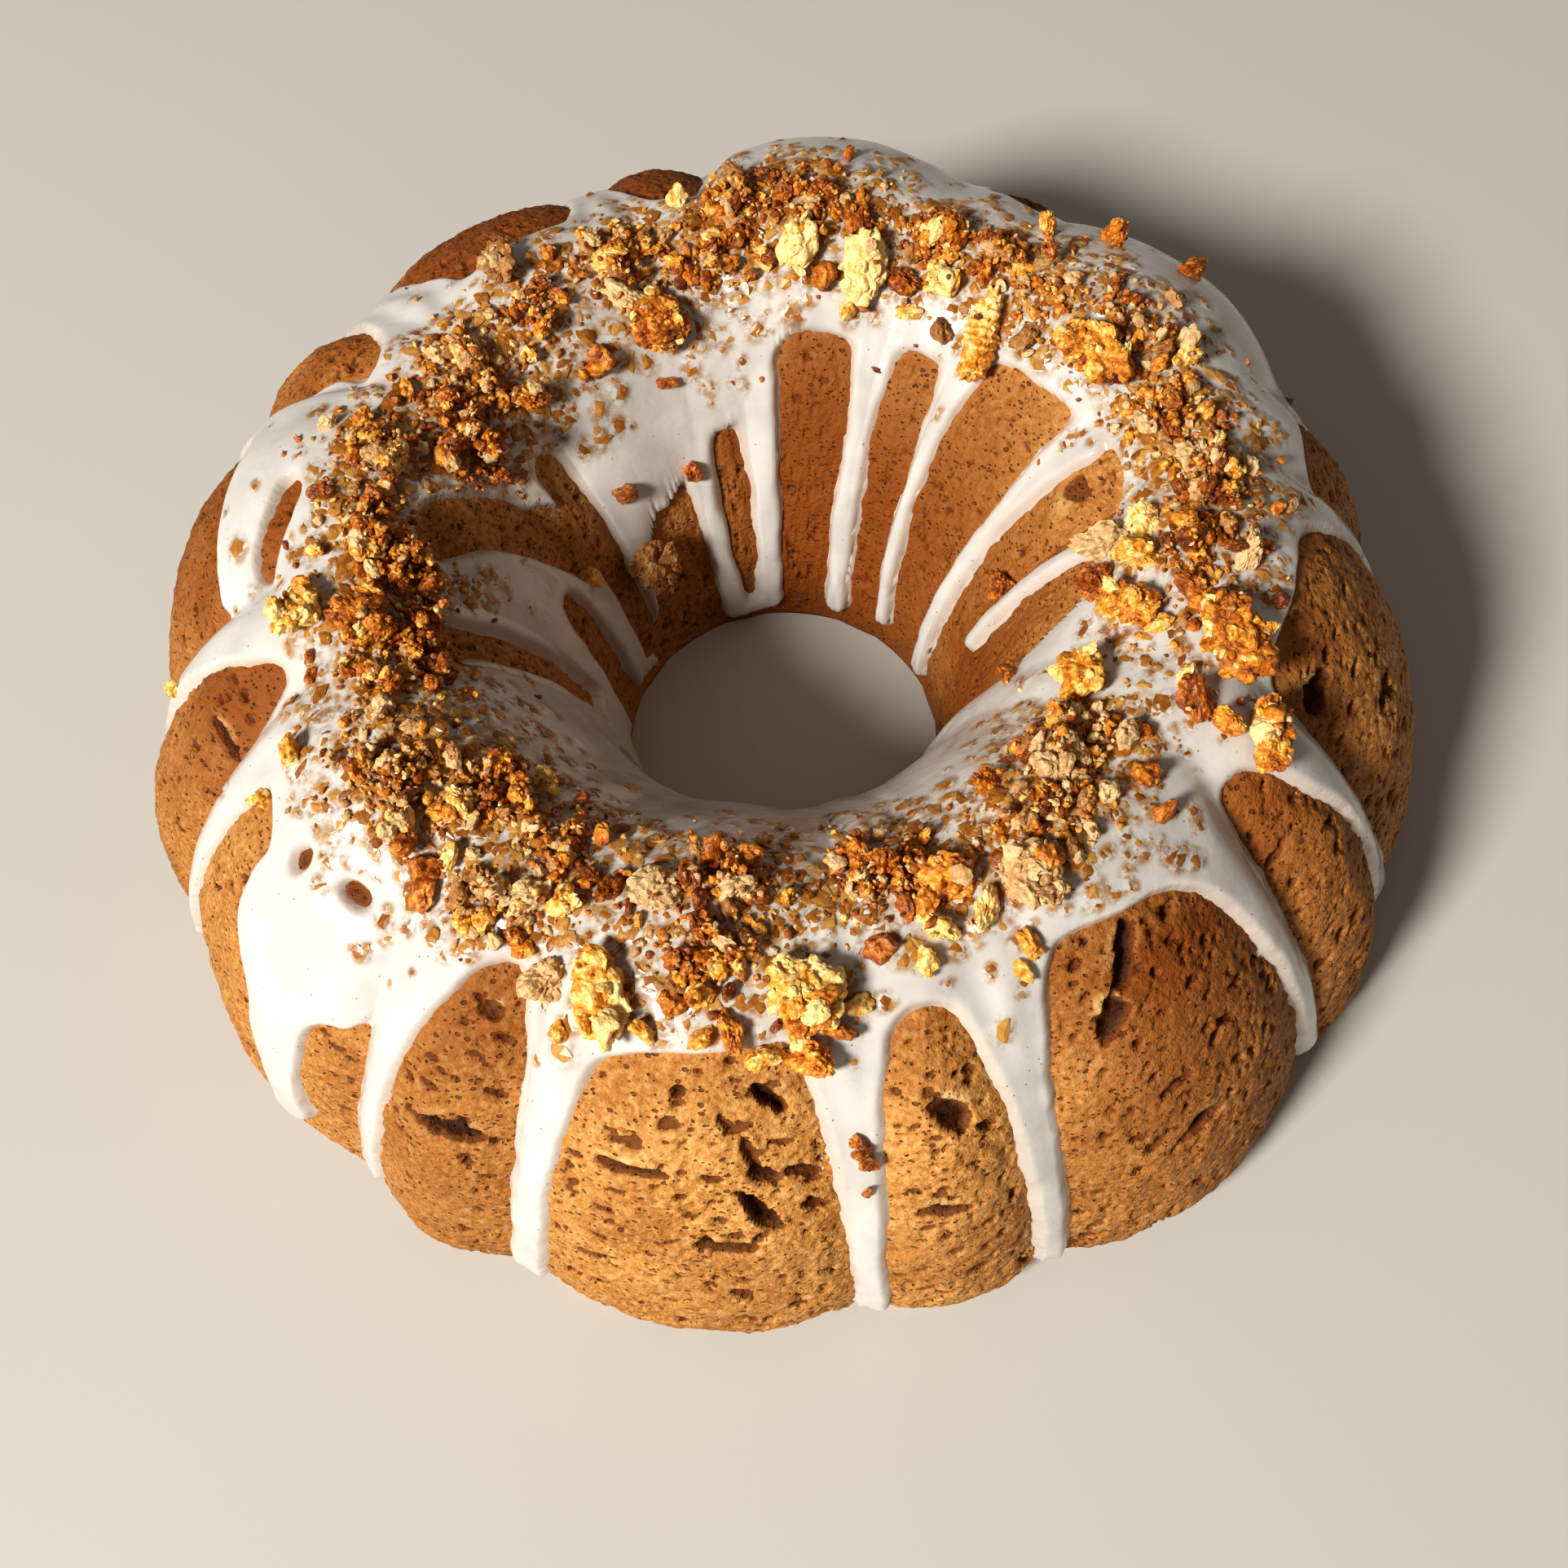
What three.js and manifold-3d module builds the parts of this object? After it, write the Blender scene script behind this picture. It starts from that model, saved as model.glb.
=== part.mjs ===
// A fluted ring cake with white glaze and lumps of honeycomb and granola.
// Millimetres and degrees, +Z up, base on z = 0, origin at the middle of the base.
//
// The crust is described on a chart of two angles. "around" runs round the ring,
// from 0 at the front (-Y) and positive towards +X. "over" runs over the ring,
// from 0 at the outer foot, through 90 at the crest, to 180 at the foot of the hole.

import * as THREE from 'three';
import { mergeVertices } from 'three/addons/utils/BufferGeometryUtils.js';
import ManifoldModule from 'manifold-3d';

const manifold = await ManifoldModule();
manifold.setup();

// ---- Driving dimensions: the ring ---------------------------------------

const crestRadius = 76;
const pitch = 45;                 // one wide and one narrow lobe
const firstLobe = -11;            // centre of the first wide lobe
const wideLobe = 29;              // the narrow lobe takes the rest of the pitch
const reach = { wide: 49.1, narrow: 48.9, valley: 43.9 };     // crest to outer foot
const holeReach = { wide: 44.1, narrow: 44.3, valley: 43.9 }; // crest to hole foot
const height = { wide: 77.4, narrow: 75.1, valley: 71.1 };
const footTuck = 3.5;             // the outer foot is rounded under
const footTuckHeight = 10;
// Superellipse powers of the section, outside on a lobe and in a groove, and in the hole.
const power = { lobe: { reach: 1.95, height: 2.2 }, groove: { reach: 1.8, height: 2 }, hole: 1.75 };
// How roundly a lobe falls off into its grooves.
const roundness = { wide: 0.8, narrow: 0.85, narrowAcross: 1.6 };

// Extra reach of each lobe, wide and narrow by turns: the cake is a little uneven.
const lobePush = [0, -0.5, 1.4, 0.5, 0.4, -0.9, -0.9, -0.4, 0.3, 2.3, 0.9, 1.6, 0, 0.8, -0.9, -0.3];

// Cracks and pits in the crust: around, over, length round the ring, height, depth.
const cracks = [
  [-31, 40, 17, 5, 4], [-15.5, 44, 15, 4.5, 3], [-4, 45, 12, 5, 3], [-4.5, 35, 12, 4, 3],
  [-7, 28, 14, 4.5, 3.5], [-6, 17, 8, 4, 3], [-4, 56, 6, 9, 3], [10.5, 31, 12, 4, 3],
  [31, 62, 6, 13, 3], [28, 54, 9, 6, 3], [28.5, 21, 16, 4.5, 3.5], [31.5, 35, 7, 3.5, 2.5],
  [68, 60, 8, 8, 3], [74, 44, 9, 4, 3], [-74, 56, 9, 4, 2.5], [122, 36, 12, 4, 3],
  [166, 34, 13, 4.5, 3], [-146, 48, 12, 4, 3], [-101, 30, 14, 4.5, 3], [101, 118, 8, 7, 2.5],
];
const crackForm = { segments: 7, rings: 4, roughness: 0.2, lift: 0.6, turn: 12 };

// ---- Driving dimensions: the glaze --------------------------------------

const glazeThickness = 1.9;
const glazeEdge = 2.6;            // breadth of the glaze's rounded edge
const glazeFoot = 0.5;            // the glaze ends this high over the base
const gap = 0.3;                  // clearance between neighbouring pieces
const valleyFill = 0.7;           // how far thick glaze levels the grooves between lobes
const fillBreadth = 8;            // glaze this far in from its edge levels them fully
const levelPower = 4;             // how sharply a levelled groove meets the lobes
// Where the crust is bare the glaze's surface dives under it: how steeply, and how deep.
const dive = { slope: 1.2, depth: 2.5 };

// Over-angle of the glaze's edge on each lobe, outside and in the hole, and how much
// the outside edge slants across its lobe (degrees over for a degree round the ring).
const outerEdge = [63.5, 70.5, 69, 73, 72, 60, 44, 70, 52, 85, 83, 81, 60, 78, 58, 73];
const outerSlant = [0.25, 0, -0.35, 0, -0.1, 0, 0, 0, 0, 0, 0, 0, 0, 0.1, -1.3, 0];
const innerEdge = [150, 154, 148, 146, 117, 107, 114, 120, 122, 137, 148, 174, 174, 170, 152, 153];
const edgeStep = 0.13;            // how soon, in half pitches, one lobe's edge gives way to the next

// Drips: around and over at the neck, around and over at the tip,
// half-width at the tip, and how far the middle bows sideways (degrees).
const outerDrips = [
  [-22.2, 74, -24.9, 8, 3.6, 0], [3.4, 74, 4.2, 7, 2.9, 0], [19.4, 74, 19.9, 7, 2.9, -0.5],
  [44.6, 74, 49, 10, 2.9, 0.4], [60, 74, 65.2, 11, 3.3, 0], [90.5, 74, 93.5, 22, 3.6, 0.5],
  [109, 70, 109.5, 20, 4, 0], [137.5, 70, 138.5, 16, 3.6, 0], [153.5, 74, 154.8, 12, 3.5, 0],
  [-178.5, 90, -176.8, 20, 3.6, 0], [-160.5, 90, -160.3, 12, 3.4, 0], [-131.5, 78, -131.5, 25, 3.6, 0],
  [-112.5, 74, -115.3, 14, 3.8, 0], [-82.5, 76, -86.3, 26, 3.8, 0], [-67, 76, -69.2, 16, 3.7, 0.4],
  [-50.8, 46, -49.4, 13, 3.2, -0.4], [-37, 74, -40.6, 12, 3.6, -0.6],
];
const innerDrips = [
  [155, 118, 155.5, 173, 2.5, 0], [136.5, 118, 135, 171, 1.9, 1.2], [108, 112, 113, 174, 2.3, 0],
  [84.5, 104, 90, 151, 1.8, 0], [66, 112, 56, 172, 3, -1], [182, 128, 181.5, 173, 2.8, -1.5],
  [-160.5, 132, -165, 174, 2.5, 1], [-70, 140, -70.5, 173, 3, 0], [-41.5, 145, -41.5, 165, 3, 0],
  [-25.5, 148, -25.5, 172, 2.8, 0], [3.5, 148, 3.5, 164, 2.8, 0], [19.5, 148, 19.5, 174, 2.8, 0],
  [48.5, 142, 48.5, 168, 2.8, 0],
];
const neck = { outer: 9.5, inner: 5 };          // half-width where a drip leaves the sheet
const flare = { outer: 20, inner: 12 };         // degrees over which a drip narrows from its neck
const flarePower = 1.3;
const blend = { outer: 7, inner: 3 };           // how softly drips run into the sheet
// Oval patches of glaze: around, over, half-width, half-height.
const glazedPatches = [[-51, 51, 13, 14], [-171.5, 174.5, 4.6, 2]];
// Bare streaks: around and over at one end, the same at the other end, half-width at each.
const bareStreaks = [
  [-98.6, 78.3, -90, 72.5, 3.2, 2.6], [-97, 114, -119, 141, 5.5, 6], [-102, 146, -101, 182, 3.5, 6],
  [-125.5, 128, -126, 170, 3.5, 3.5], [-76, 115, -80.5, 152, 3.5, 3.5],
];

// ---- Driving dimensions: the toppings -----------------------------------

// Lumps on top: around, over, length round the ring, length over it, height, turn, colour.
const honeycomb = 0xe9ad3c, toffee = 0xc8641c, oats = 0xb98a55;
const lumps = [
  [-18.6, 70, 10.5, 18, 8, 24, honeycomb], [-0.2, 73.8, 13.5, 13, 8, 0, honeycomb],
  [27.2, 82, 10, 13, 6, 12, oats], [37.8, 99.5, 9.5, 8.5, 6, 0, oats],
  [67, 83, 12, 19, 9, -47, toffee], [57.6, 71.2, 15, 7, 7, 21, toffee],
  [55, 108.7, 10.5, 9.5, 7, 30, honeycomb], [69.8, 106, 7.5, 15, 6, -20, toffee],
  [117.5, 100.3, 18, 10.5, 8, 10, toffee], [133.8, 111.5, 7, 19, 6.5, 21, honeycomb],
  [148.3, 94.6, 10, 8.5, 7, 0, toffee], [146.2, 105.6, 8, 7.5, 6, 0, honeycomb],
  [160.6, 108.3, 10, 17, 7, 4, honeycomb], [171.2, 105.5, 9, 13.5, 7, -15, honeycomb],
  [-159.8, 115.5, 12, 13.5, 8, 0, toffee], [-142.3, 89.3, 8, 10.5, 5, -50, oats],
  [-136.5, 153, 11, 13, 7, 20, oats], [-76.8, 95.5, 10, 9.5, 6, 10, toffee],
  [-79.6, 82.5, 9.5, 10, 6, 0, honeycomb], [-47.3, 80, 6, 9.5, 5, 45, honeycomb],
];
const lumpForm = { segments: 7, rings: 5, roughness: 0.13, boxiness: 0.55, lift: 0.3 };

// Where crumbs gather: around, over, spread in millimetres, share.
const crumbClusters = [
  [-125, 105, 11, 1.6], [-114, 111, 8, 1], [-142, 103, 7, 0.5], [-106, 95, 7, 0.6], [-92, 100, 8, 0.9],
  [-85, 106, 8, 1.1], [-71, 105, 8, 1.1], [-68, 93, 7, 0.5], [-52, 86, 9, 1.5], [-43, 100, 7, 0.9],
  [-33, 80, 8, 0.7], [-32, 97, 8, 0.7], [-9, 81, 9, 1], [-8, 97, 9, 0.6], [12, 94, 9, 1.3],
  [33, 90, 8, 1.2], [42, 101, 9, 1.4], [78, 93, 8, 0.8], [90, 88, 10, 1.3], [104, 92, 10, 1],
  [118, 88, 9, 0.7], [131, 98, 7, 0.5], [139, 92, 8, 0.9], [152, 96, 8, 0.5], [168, 94, 9, 0.8],
  [179, 90, 10, 1.2], [-174, 105, 7, 0.7], [-158, 100, 8, 1],
];
const crumbCount = 56;
const crumbSize = { largest: 6.5, smallest: 3.2 };
const crumbForm = {
  segments: 5, rings: 3, roughness: 0.2, boxiness: 0.3, width: 0.8, height: 0.75, lift: 0.16,
};
const crumbScatter = 1.6;         // how much wider than its spread a cluster reaches
const crumbTries = 40;            // places tried for each crumb
const crumbToLump = 1, crumbOverlap = 0.3;      // room left at lumps, overlap of crumbs

// ---- Small helpers ------------------------------------------------------

const degrees = Math.PI / 180;
const overScale = 1.1;            // millimetres of crust for one degree of "over"
const clamp = (value, low, high) => Math.min(Math.max(value, low), high);
const mix = (from, to, share) => from + (to - from) * share;
const wrap = (angle) => ((angle + 180) % 360 + 360) % 360 - 180;

function smoothStep(low, high, value) {
  const share = clamp((value - low) / (high - low), 0, 1);
  return share * share * (3 - 2 * share);
}

function smoothMax(a, b, softness) {
  const share = clamp(0.5 + (a - b) / (2 * softness), 0, 1);
  return mix(b, a, share) + softness * share * (1 - share);
}

// Starting numbers of the uneven shapes.
const seeds = { cracks: 11, crumbPlaces: 2024, crumbShapes: 7, lumps: 31 };

// The same numbers on every run, from 0 to 1.
function seededRandom(seed) {
  const multiplier = 1664525, increment = 1013904223, modulus = 2 ** 32;
  let state = seed;
  return () => {
    state = (state * multiplier + increment) % modulus;
    return state / modulus;
  };
}

// How many half pitches a place lies past the middle of the first lobe, from 0 to 16.
const lobePlace = (around) => (wrap(around - firstLobe - 180) + 180) / (pitch / 2);

// Value of a per-lobe list at any angle round the ring, eased from lobe to lobe.
function perLobe(list, around) {
  const place = lobePlace(around);
  const lobe = Math.floor(place);
  const ease = (1 - Math.cos((place - lobe) * Math.PI)) / 2;
  return mix(list[lobe % list.length], list[(lobe + 1) % list.length], ease);
}

// ---- The ring -----------------------------------------------------------

// 1 on the middle of a wide or narrow lobe, 0 in the grooves between them.
function flute(around) {
  const place = lobePlace(around) / 2;
  const fromWide = Math.abs(place - Math.round(place)) * pitch;
  const half = wideLobe / 2;
  if (fromWide < half) return { wide: (1 - (fromWide / half) ** 2) ** roundness.wide, narrow: 0 };
  const across = (pitch / 2 - fromWide) / (pitch / 2 - half);
  return { wide: 0, narrow: Math.max(1 - across ** roundness.narrowAcross, 0) ** roundness.narrow };
}

// A point on the ring; fill levels the grooves, as glaze does.
function ringPoint(around, over, fill) {
  const { wide, narrow } = flute(around);
  const lobed = wide + narrow;
  const levelled = (lobed ** levelPower + fill ** levelPower) ** (1 / levelPower) - lobed;
  const at = (sizes) => sizes.valley + (sizes.wide - sizes.valley) * (wide + levelled)
    + (sizes.narrow - sizes.valley) * narrow;
  const run = Math.cos(over * degrees);
  const rise = Math.sin(clamp(over, 0, 180) * degrees);
  let radius, z;
  if (run > 0) {
    const extended = at(reach) + perLobe(lobePush, around) * run;
    radius = crestRadius + extended * run ** (2 / mix(power.groove.reach, power.lobe.reach, lobed));
    z = at(height) * rise ** (2 / mix(power.groove.height, power.lobe.height, lobed));
    radius -= footTuck * clamp(1 - z / footTuckHeight, 0, 1) ** 2;
  } else {
    radius = crestRadius - at(holeReach) * (-run) ** (2 / power.hole);
    z = at(height) * rise ** (2 / power.hole);
  }
  const angle = around * degrees;
  return new THREE.Vector3(radius * Math.sin(angle), -radius * Math.cos(angle), z);
}

function radiusAt(around, over) {
  const point = ringPoint(around, over, 0);
  return Math.hypot(point.x, point.y);
}

function ringNormal(around, over, fill) {
  const step = 1.2, lowest = 0.5;
  const low = clamp(over - step, lowest, 180 - lowest), high = clamp(over + step, lowest, 180 - lowest);
  const along = ringPoint(around + step, over, fill).sub(ringPoint(around - step, over, fill));
  const across = ringPoint(around, high, fill).sub(ringPoint(around, low, fill));
  return along.cross(across).normalize();
}

function raisedPoint(around, over, lift, fill = 0) {
  return ringPoint(around, over, fill).addScaledVector(ringNormal(around, over, fill), lift);
}

// The grid shared by crust and glaze: rows over the ring, and columns at the same places
// on every pitch, from the middle of a wide lobe, close together at the grooves.
const rows = [0, 5, 13, 23, 34, 45, 56, 66, 76, 87, 99, 112, 126, 140, 154, 168, 180];
const columnPlaces = [-14.5, -12.6, -7, 0, 7, 12.6, 14.5, 16.4, 22.5, 28.6];
const columns = Array.from({ length: 360 / pitch }, (_, turn) => (
  columnPlaces.map((place) => firstLobe + turn * pitch + place))).flat();

// A closed ring of columns and rows; the last row closes to the first under the base.
function ringShape(place) {
  const positions = [], triangles = [];
  for (const around of columns) for (const over of rows) positions.push(...place(around, over).toArray());
  columns.forEach((_, column) => rows.forEach((_, row) => {
    const nextColumn = (column + 1) % columns.length, nextRow = (row + 1) % rows.length;
    const a = column * rows.length + row, b = nextColumn * rows.length + row;
    const c = nextColumn * rows.length + nextRow, d = column * rows.length + nextRow;
    triangles.push(a, b, c, a, c, d);
  }));
  const shape = new THREE.BufferGeometry();
  shape.setAttribute('position', new THREE.Float32BufferAttribute(positions, 3));
  shape.setIndex(triangles);
  return shape;
}

// ---- Solids -------------------------------------------------------------

const samePoint = 1e-4;           // points nearer than this are one

function toSolid(geometry) {
  const bare = geometry.clone();
  bare.deleteAttribute('normal');
  bare.deleteAttribute('uv');
  const merged = mergeVertices(bare, samePoint);
  return new manifold.Manifold(new manifold.Mesh({
    numProp: 3,
    vertProperties: new Float32Array(merged.attributes.position.array),
    triVerts: new Uint32Array(merged.index.array),
  }));
}

function toGeometry(solid) {
  const mesh = solid.getMesh();
  const geometry = new THREE.BufferGeometry();
  geometry.setAttribute('position', new THREE.BufferAttribute(new Float32Array(mesh.vertProperties), 3));
  geometry.setIndex(new THREE.BufferAttribute(new Uint32Array(mesh.triVerts), 1));
  geometry.computeVertexNormals();
  return geometry;
}

const largestBody = (solid) => solid.decompose().sort((a, b) => b.volume() - a.volume())[0];

// An uneven lump round the origin; boxiness squares it off.
function lumpShape(length, width, tall, { segments, rings, roughness: uneven, boxiness = 0 }, random) {
  const ball = new THREE.SphereGeometry(1, segments, rings);
  ball.deleteAttribute('normal');
  ball.deleteAttribute('uv');
  const shape = mergeVertices(ball, samePoint);
  const corner = new THREE.Vector3();
  const points = shape.attributes.position;
  for (let index = 0; index < points.count; index += 1) {
    corner.fromBufferAttribute(points, index);
    const swell = 1 + uneven * (random() * 2 - 1);
    const square = Math.max(Math.abs(corner.x), Math.abs(corner.y), Math.abs(corner.z)) ** -boxiness;
    corner.multiplyScalar(swell * square);
    points.setXYZ(index, corner.x * length / 2, corner.y * width / 2, corner.z * tall / 2);
  }
  return shape;
}

// Stands a shape on the ring: its x runs round the ring, y over it, z away from it.
function standOnRing(shape, around, over, lift, turn, fill = 0) {
  const up = ringNormal(around, over, fill);
  const round = new THREE.Vector3(Math.cos(around * degrees), Math.sin(around * degrees), 0);
  round.addScaledVector(up, -round.dot(up)).normalize();
  const across = up.clone().cross(round);
  const frame = new THREE.Matrix4().makeBasis(round, across, up);
  frame.multiply(new THREE.Matrix4().makeRotationZ(turn * degrees));
  frame.setPosition(raisedPoint(around, over, lift, fill));
  return shape.applyMatrix4(frame);
}

// ---- The glaze's outline ------------------------------------------------

// Where the sheet ends on the outside: level over each lobe, and stepping in the grooves.
function outerEdgeAt(around) {
  const place = lobePlace(around);
  const lobe = Math.floor(place);
  const wideShare = wideLobe / pitch;
  const groove = lobe % 2 === 0 ? wideShare : 1 - wideShare;
  const edgeOn = (number) => {
    const slant = outerSlant[number % outerEdge.length] * (place - number) * pitch / 2;
    return outerEdge[number % outerEdge.length] + slant;
  };
  const ease = smoothStep(groove - edgeStep, groove + edgeStep, place - lobe);
  return mix(edgeOn(lobe), edgeOn(lobe + 1), ease);
}

function insideDrip([neckAround, neckOver, tipAround, tipOver, foot, bow], side, around, over, radius) {
  const share = clamp((over - neckOver) / (tipOver - neckOver), 0, 1);
  const middle = mix(neckAround, tipAround, share) + bow * Math.sin(Math.PI * share);
  const sideways = wrap(around - middle) * degrees * radius;
  const past = (over - mix(neckOver, tipOver, share)) * overScale;
  const narrowed = (share * Math.abs(tipOver - neckOver) / flare[side]) ** flarePower;
  return foot + (neck[side] - foot) * Math.exp(-narrowed) - Math.hypot(sideways, past);
}

function insidePatch([patchAround, patchOver, halfWidth, halfHeight], around, over, radius) {
  const x = wrap(around - patchAround) * degrees * radius / halfWidth;
  const y = (over - patchOver) * overScale / halfHeight;
  return (1 - Math.hypot(x, y)) * Math.min(halfWidth, halfHeight);
}

function insideStreak([fromAround, fromOver, toAround, toOver, fromHalf, toHalf], around, over, radius) {
  const x = wrap(around - fromAround) * degrees * radius;
  const y = (over - fromOver) * overScale;
  const alongX = (toAround - fromAround) * degrees * radius;
  const alongY = (toOver - fromOver) * overScale;
  const share = clamp((x * alongX + y * alongY) / (alongX ** 2 + alongY ** 2), 0, 1);
  return mix(fromHalf, toHalf, share) - Math.hypot(x - share * alongX, y - share * alongY);
}

// Distance in from the glaze's edge, negative where the crust is bare.
function glazeInside(around, over) {
  const radius = radiusAt(around, over);
  const fromOuter = (over - outerEdgeAt(around)) * overScale;
  const fromInner = (perLobe(innerEdge, around) - over) * overScale;
  let inside = Math.min(fromOuter, fromInner);
  const side = over < 90 ? 'outer' : 'inner';
  for (const drip of side === 'outer' ? outerDrips : innerDrips) {
    inside = smoothMax(inside, insideDrip(drip, side, around, over, radius), blend[side]);
  }
  for (const patch of glazedPatches) {
    inside = smoothMax(inside, insidePatch(patch, around, over, radius), blend[side]);
  }
  for (const streak of bareStreaks) inside = Math.min(inside, -insideStreak(streak, around, over, radius));
  return inside;
}

// Height of the glaze over the crust: a rounded edge, then level; sunk where bare.
function glazeLift(inside) {
  if (inside < 0) return gap + Math.max(inside * dive.slope, -dive.depth);
  const edge = 1 - Math.min(inside / glazeEdge, 1);
  return gap + glazeThickness * Math.sqrt(1 - edge ** 2);
}

const glazeFill = (inside) => valleyFill * smoothStep(0, fillBreadth, inside);

// ---- Pieces -------------------------------------------------------------

function makeCrust() {
  const body = toSolid(ringShape((around, over) => ringPoint(around, over, 0)));
  const random = seededRandom(seeds.cracks);
  const cuts = cracks.map(([around, over, length, tall, deep]) => {
    const cut = lumpShape(length, tall, deep * 2, crackForm, random);
    return toSolid(standOnRing(cut, around, over, crackForm.lift, (random() * 2 - 1) * crackForm.turn));
  });
  return largestBody(body.subtract(manifold.Manifold.union(cuts)));
}

const isFoot = (over) => over === 0 || over === 180;

// The crust grown by the clearance, with its base lowered so nothing is left under it.
function makeCrustClearance() {
  const lowered = (around, over) => {
    const point = raisedPoint(around, over, gap);
    if (isFoot(over)) point.z = -gap;
    return point;
  };
  return toSolid(ringShape(lowered));
}

// The ring with the glaze's relief, still solid all through.
function makeGlazedRing(extra) {
  const place = (around, over) => {
    const inside = glazeInside(around, over);
    const point = raisedPoint(around, over, glazeLift(inside) + extra, glazeFill(inside));
    if (isFoot(over)) point.z = glazeFoot;
    return point;
  };
  return toSolid(ringShape(place));
}

// Crumbs on the glaze, largest first, gathered in the clusters and clear of the lumps.
function placeCrumbs() {
  const random = seededRandom(seeds.crumbPlaces);
  const spread = () => (random() + random() + random() - 1.5) * crumbScatter;
  const total = crumbClusters.reduce((sum, cluster) => sum + cluster[3], 0);
  const taken = lumps.map(([around, over, length, width]) => (
    { at: ringPoint(around, over, 0), radius: Math.max(length, width) / 2 + crumbToLump }));
  const crumbs = [];
  for (let index = 0; index < crumbCount; index += 1) {
    const size = mix(crumbSize.largest, crumbSize.smallest, Math.sqrt(index / (crumbCount - 1)));
    for (let attempt = 0; attempt < crumbTries; attempt += 1) {
      let pick = random() * total;
      const cluster = crumbClusters.find(([, , , share]) => (pick -= share) <= 0);
      const radius = radiusAt(cluster[0], cluster[1]);
      const around = cluster[0] + spread() * cluster[2] / (radius * degrees);
      const over = cluster[1] + spread() * cluster[2] / overScale;
      const at = ringPoint(around, over, 0);
      const clear = taken.every((other) => other.at.distanceTo(at) > other.radius + size / 2);
      const inside = glazeInside(around, over);
      if (!clear || inside < size / 2) continue;
      taken.push({ at, radius: size / 2 - crumbOverlap });
      crumbs.push({ around, over, inside, size, turn: random() * 180 });
      break;
    }
  }
  return crumbs;
}

function makeGlaze(crustClearance) {
  const random = seededRandom(seeds.crumbShapes);
  const crumbs = placeCrumbs().map(({ around, over, inside, size, turn }) => {
    const crumb = lumpShape(size, size * crumbForm.width, size * crumbForm.height, crumbForm, random);
    const lift = gap + glazeThickness + size * crumbForm.lift;
    return toSolid(standOnRing(crumb, around, over, lift, turn, glazeFill(inside)));
  });
  const covered = manifold.Manifold.union([makeGlazedRing(0), ...crumbs]);
  return largestBody(covered.subtract(crustClearance));
}

function makeLumps(crustClearance) {
  const random = seededRandom(seeds.lumps);
  const below = manifold.Manifold.union([makeGlazedRing(gap), crustClearance]);
  return lumps.map(([around, over, length, width, tall, turn, colour]) => {
    const inside = glazeInside(around, over);
    const lift = (inside < 0 ? gap : 2 * gap + glazeThickness) + tall * lumpForm.lift;
    const lump = lumpShape(length, width, tall, lumpForm, random);
    const solid = toSolid(standOnRing(lump, around, over, lift, turn, glazeFill(inside)));
    return { solid: largestBody(solid.subtract(below)), colour };
  });
}

// ---- The cake -----------------------------------------------------------

function addMesh(group, name, solid, colour, roughnessOfLook) {
  const material = new THREE.MeshStandardMaterial({ color: colour, roughness: roughnessOfLook, metalness: 0 });
  const mesh = new THREE.Mesh(toGeometry(solid), material);
  mesh.name = name;
  group.add(mesh);
}

const look = {
  crust: { colour: 0xa8642c, roughness: 0.85 },
  glaze: { colour: 0xece8e6, roughness: 0.3 },
  lump: { roughness: 0.7 },
};
const bundtCake = new THREE.Group();
const crustClearance = makeCrustClearance();
addMesh(bundtCake, 'crust', makeCrust(), look.crust.colour, look.crust.roughness);
addMesh(bundtCake, 'glaze', makeGlaze(crustClearance), look.glaze.colour, look.glaze.roughness);
makeLumps(crustClearance).forEach(({ solid, colour }, index) => {
  addMesh(bundtCake, `lump_${String(index + 1).padStart(2, '0')}`, solid, colour, look.lump.roughness);
});

export default bundtCake;
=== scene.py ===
"""A fluted ring cake with white glaze, lumps of honeycomb and a scatter of toffee and granola crumbs.

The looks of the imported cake. Lengths are millimetres and angles degrees until a mesh is
made, and metres after that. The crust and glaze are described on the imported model's own
chart: "around" runs round the ring from 0 at the front (-Y), positive towards +X, and
"over" runs over the ring from 0 at the outer foot, through 90 at the crest, to 180 at
the foot of the hole.
"""

import itertools
import math

import bmesh
import bpy
import numpy as np
from mathutils import Matrix, Vector


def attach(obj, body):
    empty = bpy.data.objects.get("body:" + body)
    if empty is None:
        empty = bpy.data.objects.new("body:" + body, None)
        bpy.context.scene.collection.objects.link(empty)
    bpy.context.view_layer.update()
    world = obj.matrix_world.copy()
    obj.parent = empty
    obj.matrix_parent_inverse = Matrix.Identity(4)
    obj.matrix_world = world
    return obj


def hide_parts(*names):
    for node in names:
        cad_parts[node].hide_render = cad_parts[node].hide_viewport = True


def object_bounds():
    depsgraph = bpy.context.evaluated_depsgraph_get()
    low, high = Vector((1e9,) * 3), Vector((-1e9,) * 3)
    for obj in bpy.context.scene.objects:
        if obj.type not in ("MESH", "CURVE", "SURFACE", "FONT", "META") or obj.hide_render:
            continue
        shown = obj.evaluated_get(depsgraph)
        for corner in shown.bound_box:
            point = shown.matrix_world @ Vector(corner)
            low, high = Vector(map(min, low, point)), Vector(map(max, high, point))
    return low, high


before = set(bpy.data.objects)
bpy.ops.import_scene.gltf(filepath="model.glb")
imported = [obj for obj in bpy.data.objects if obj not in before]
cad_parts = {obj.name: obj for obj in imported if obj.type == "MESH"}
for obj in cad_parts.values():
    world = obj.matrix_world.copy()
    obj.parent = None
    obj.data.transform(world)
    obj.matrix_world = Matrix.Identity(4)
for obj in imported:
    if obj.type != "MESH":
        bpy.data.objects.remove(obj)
cad_low, cad_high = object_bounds()

MM = 0.001

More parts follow.
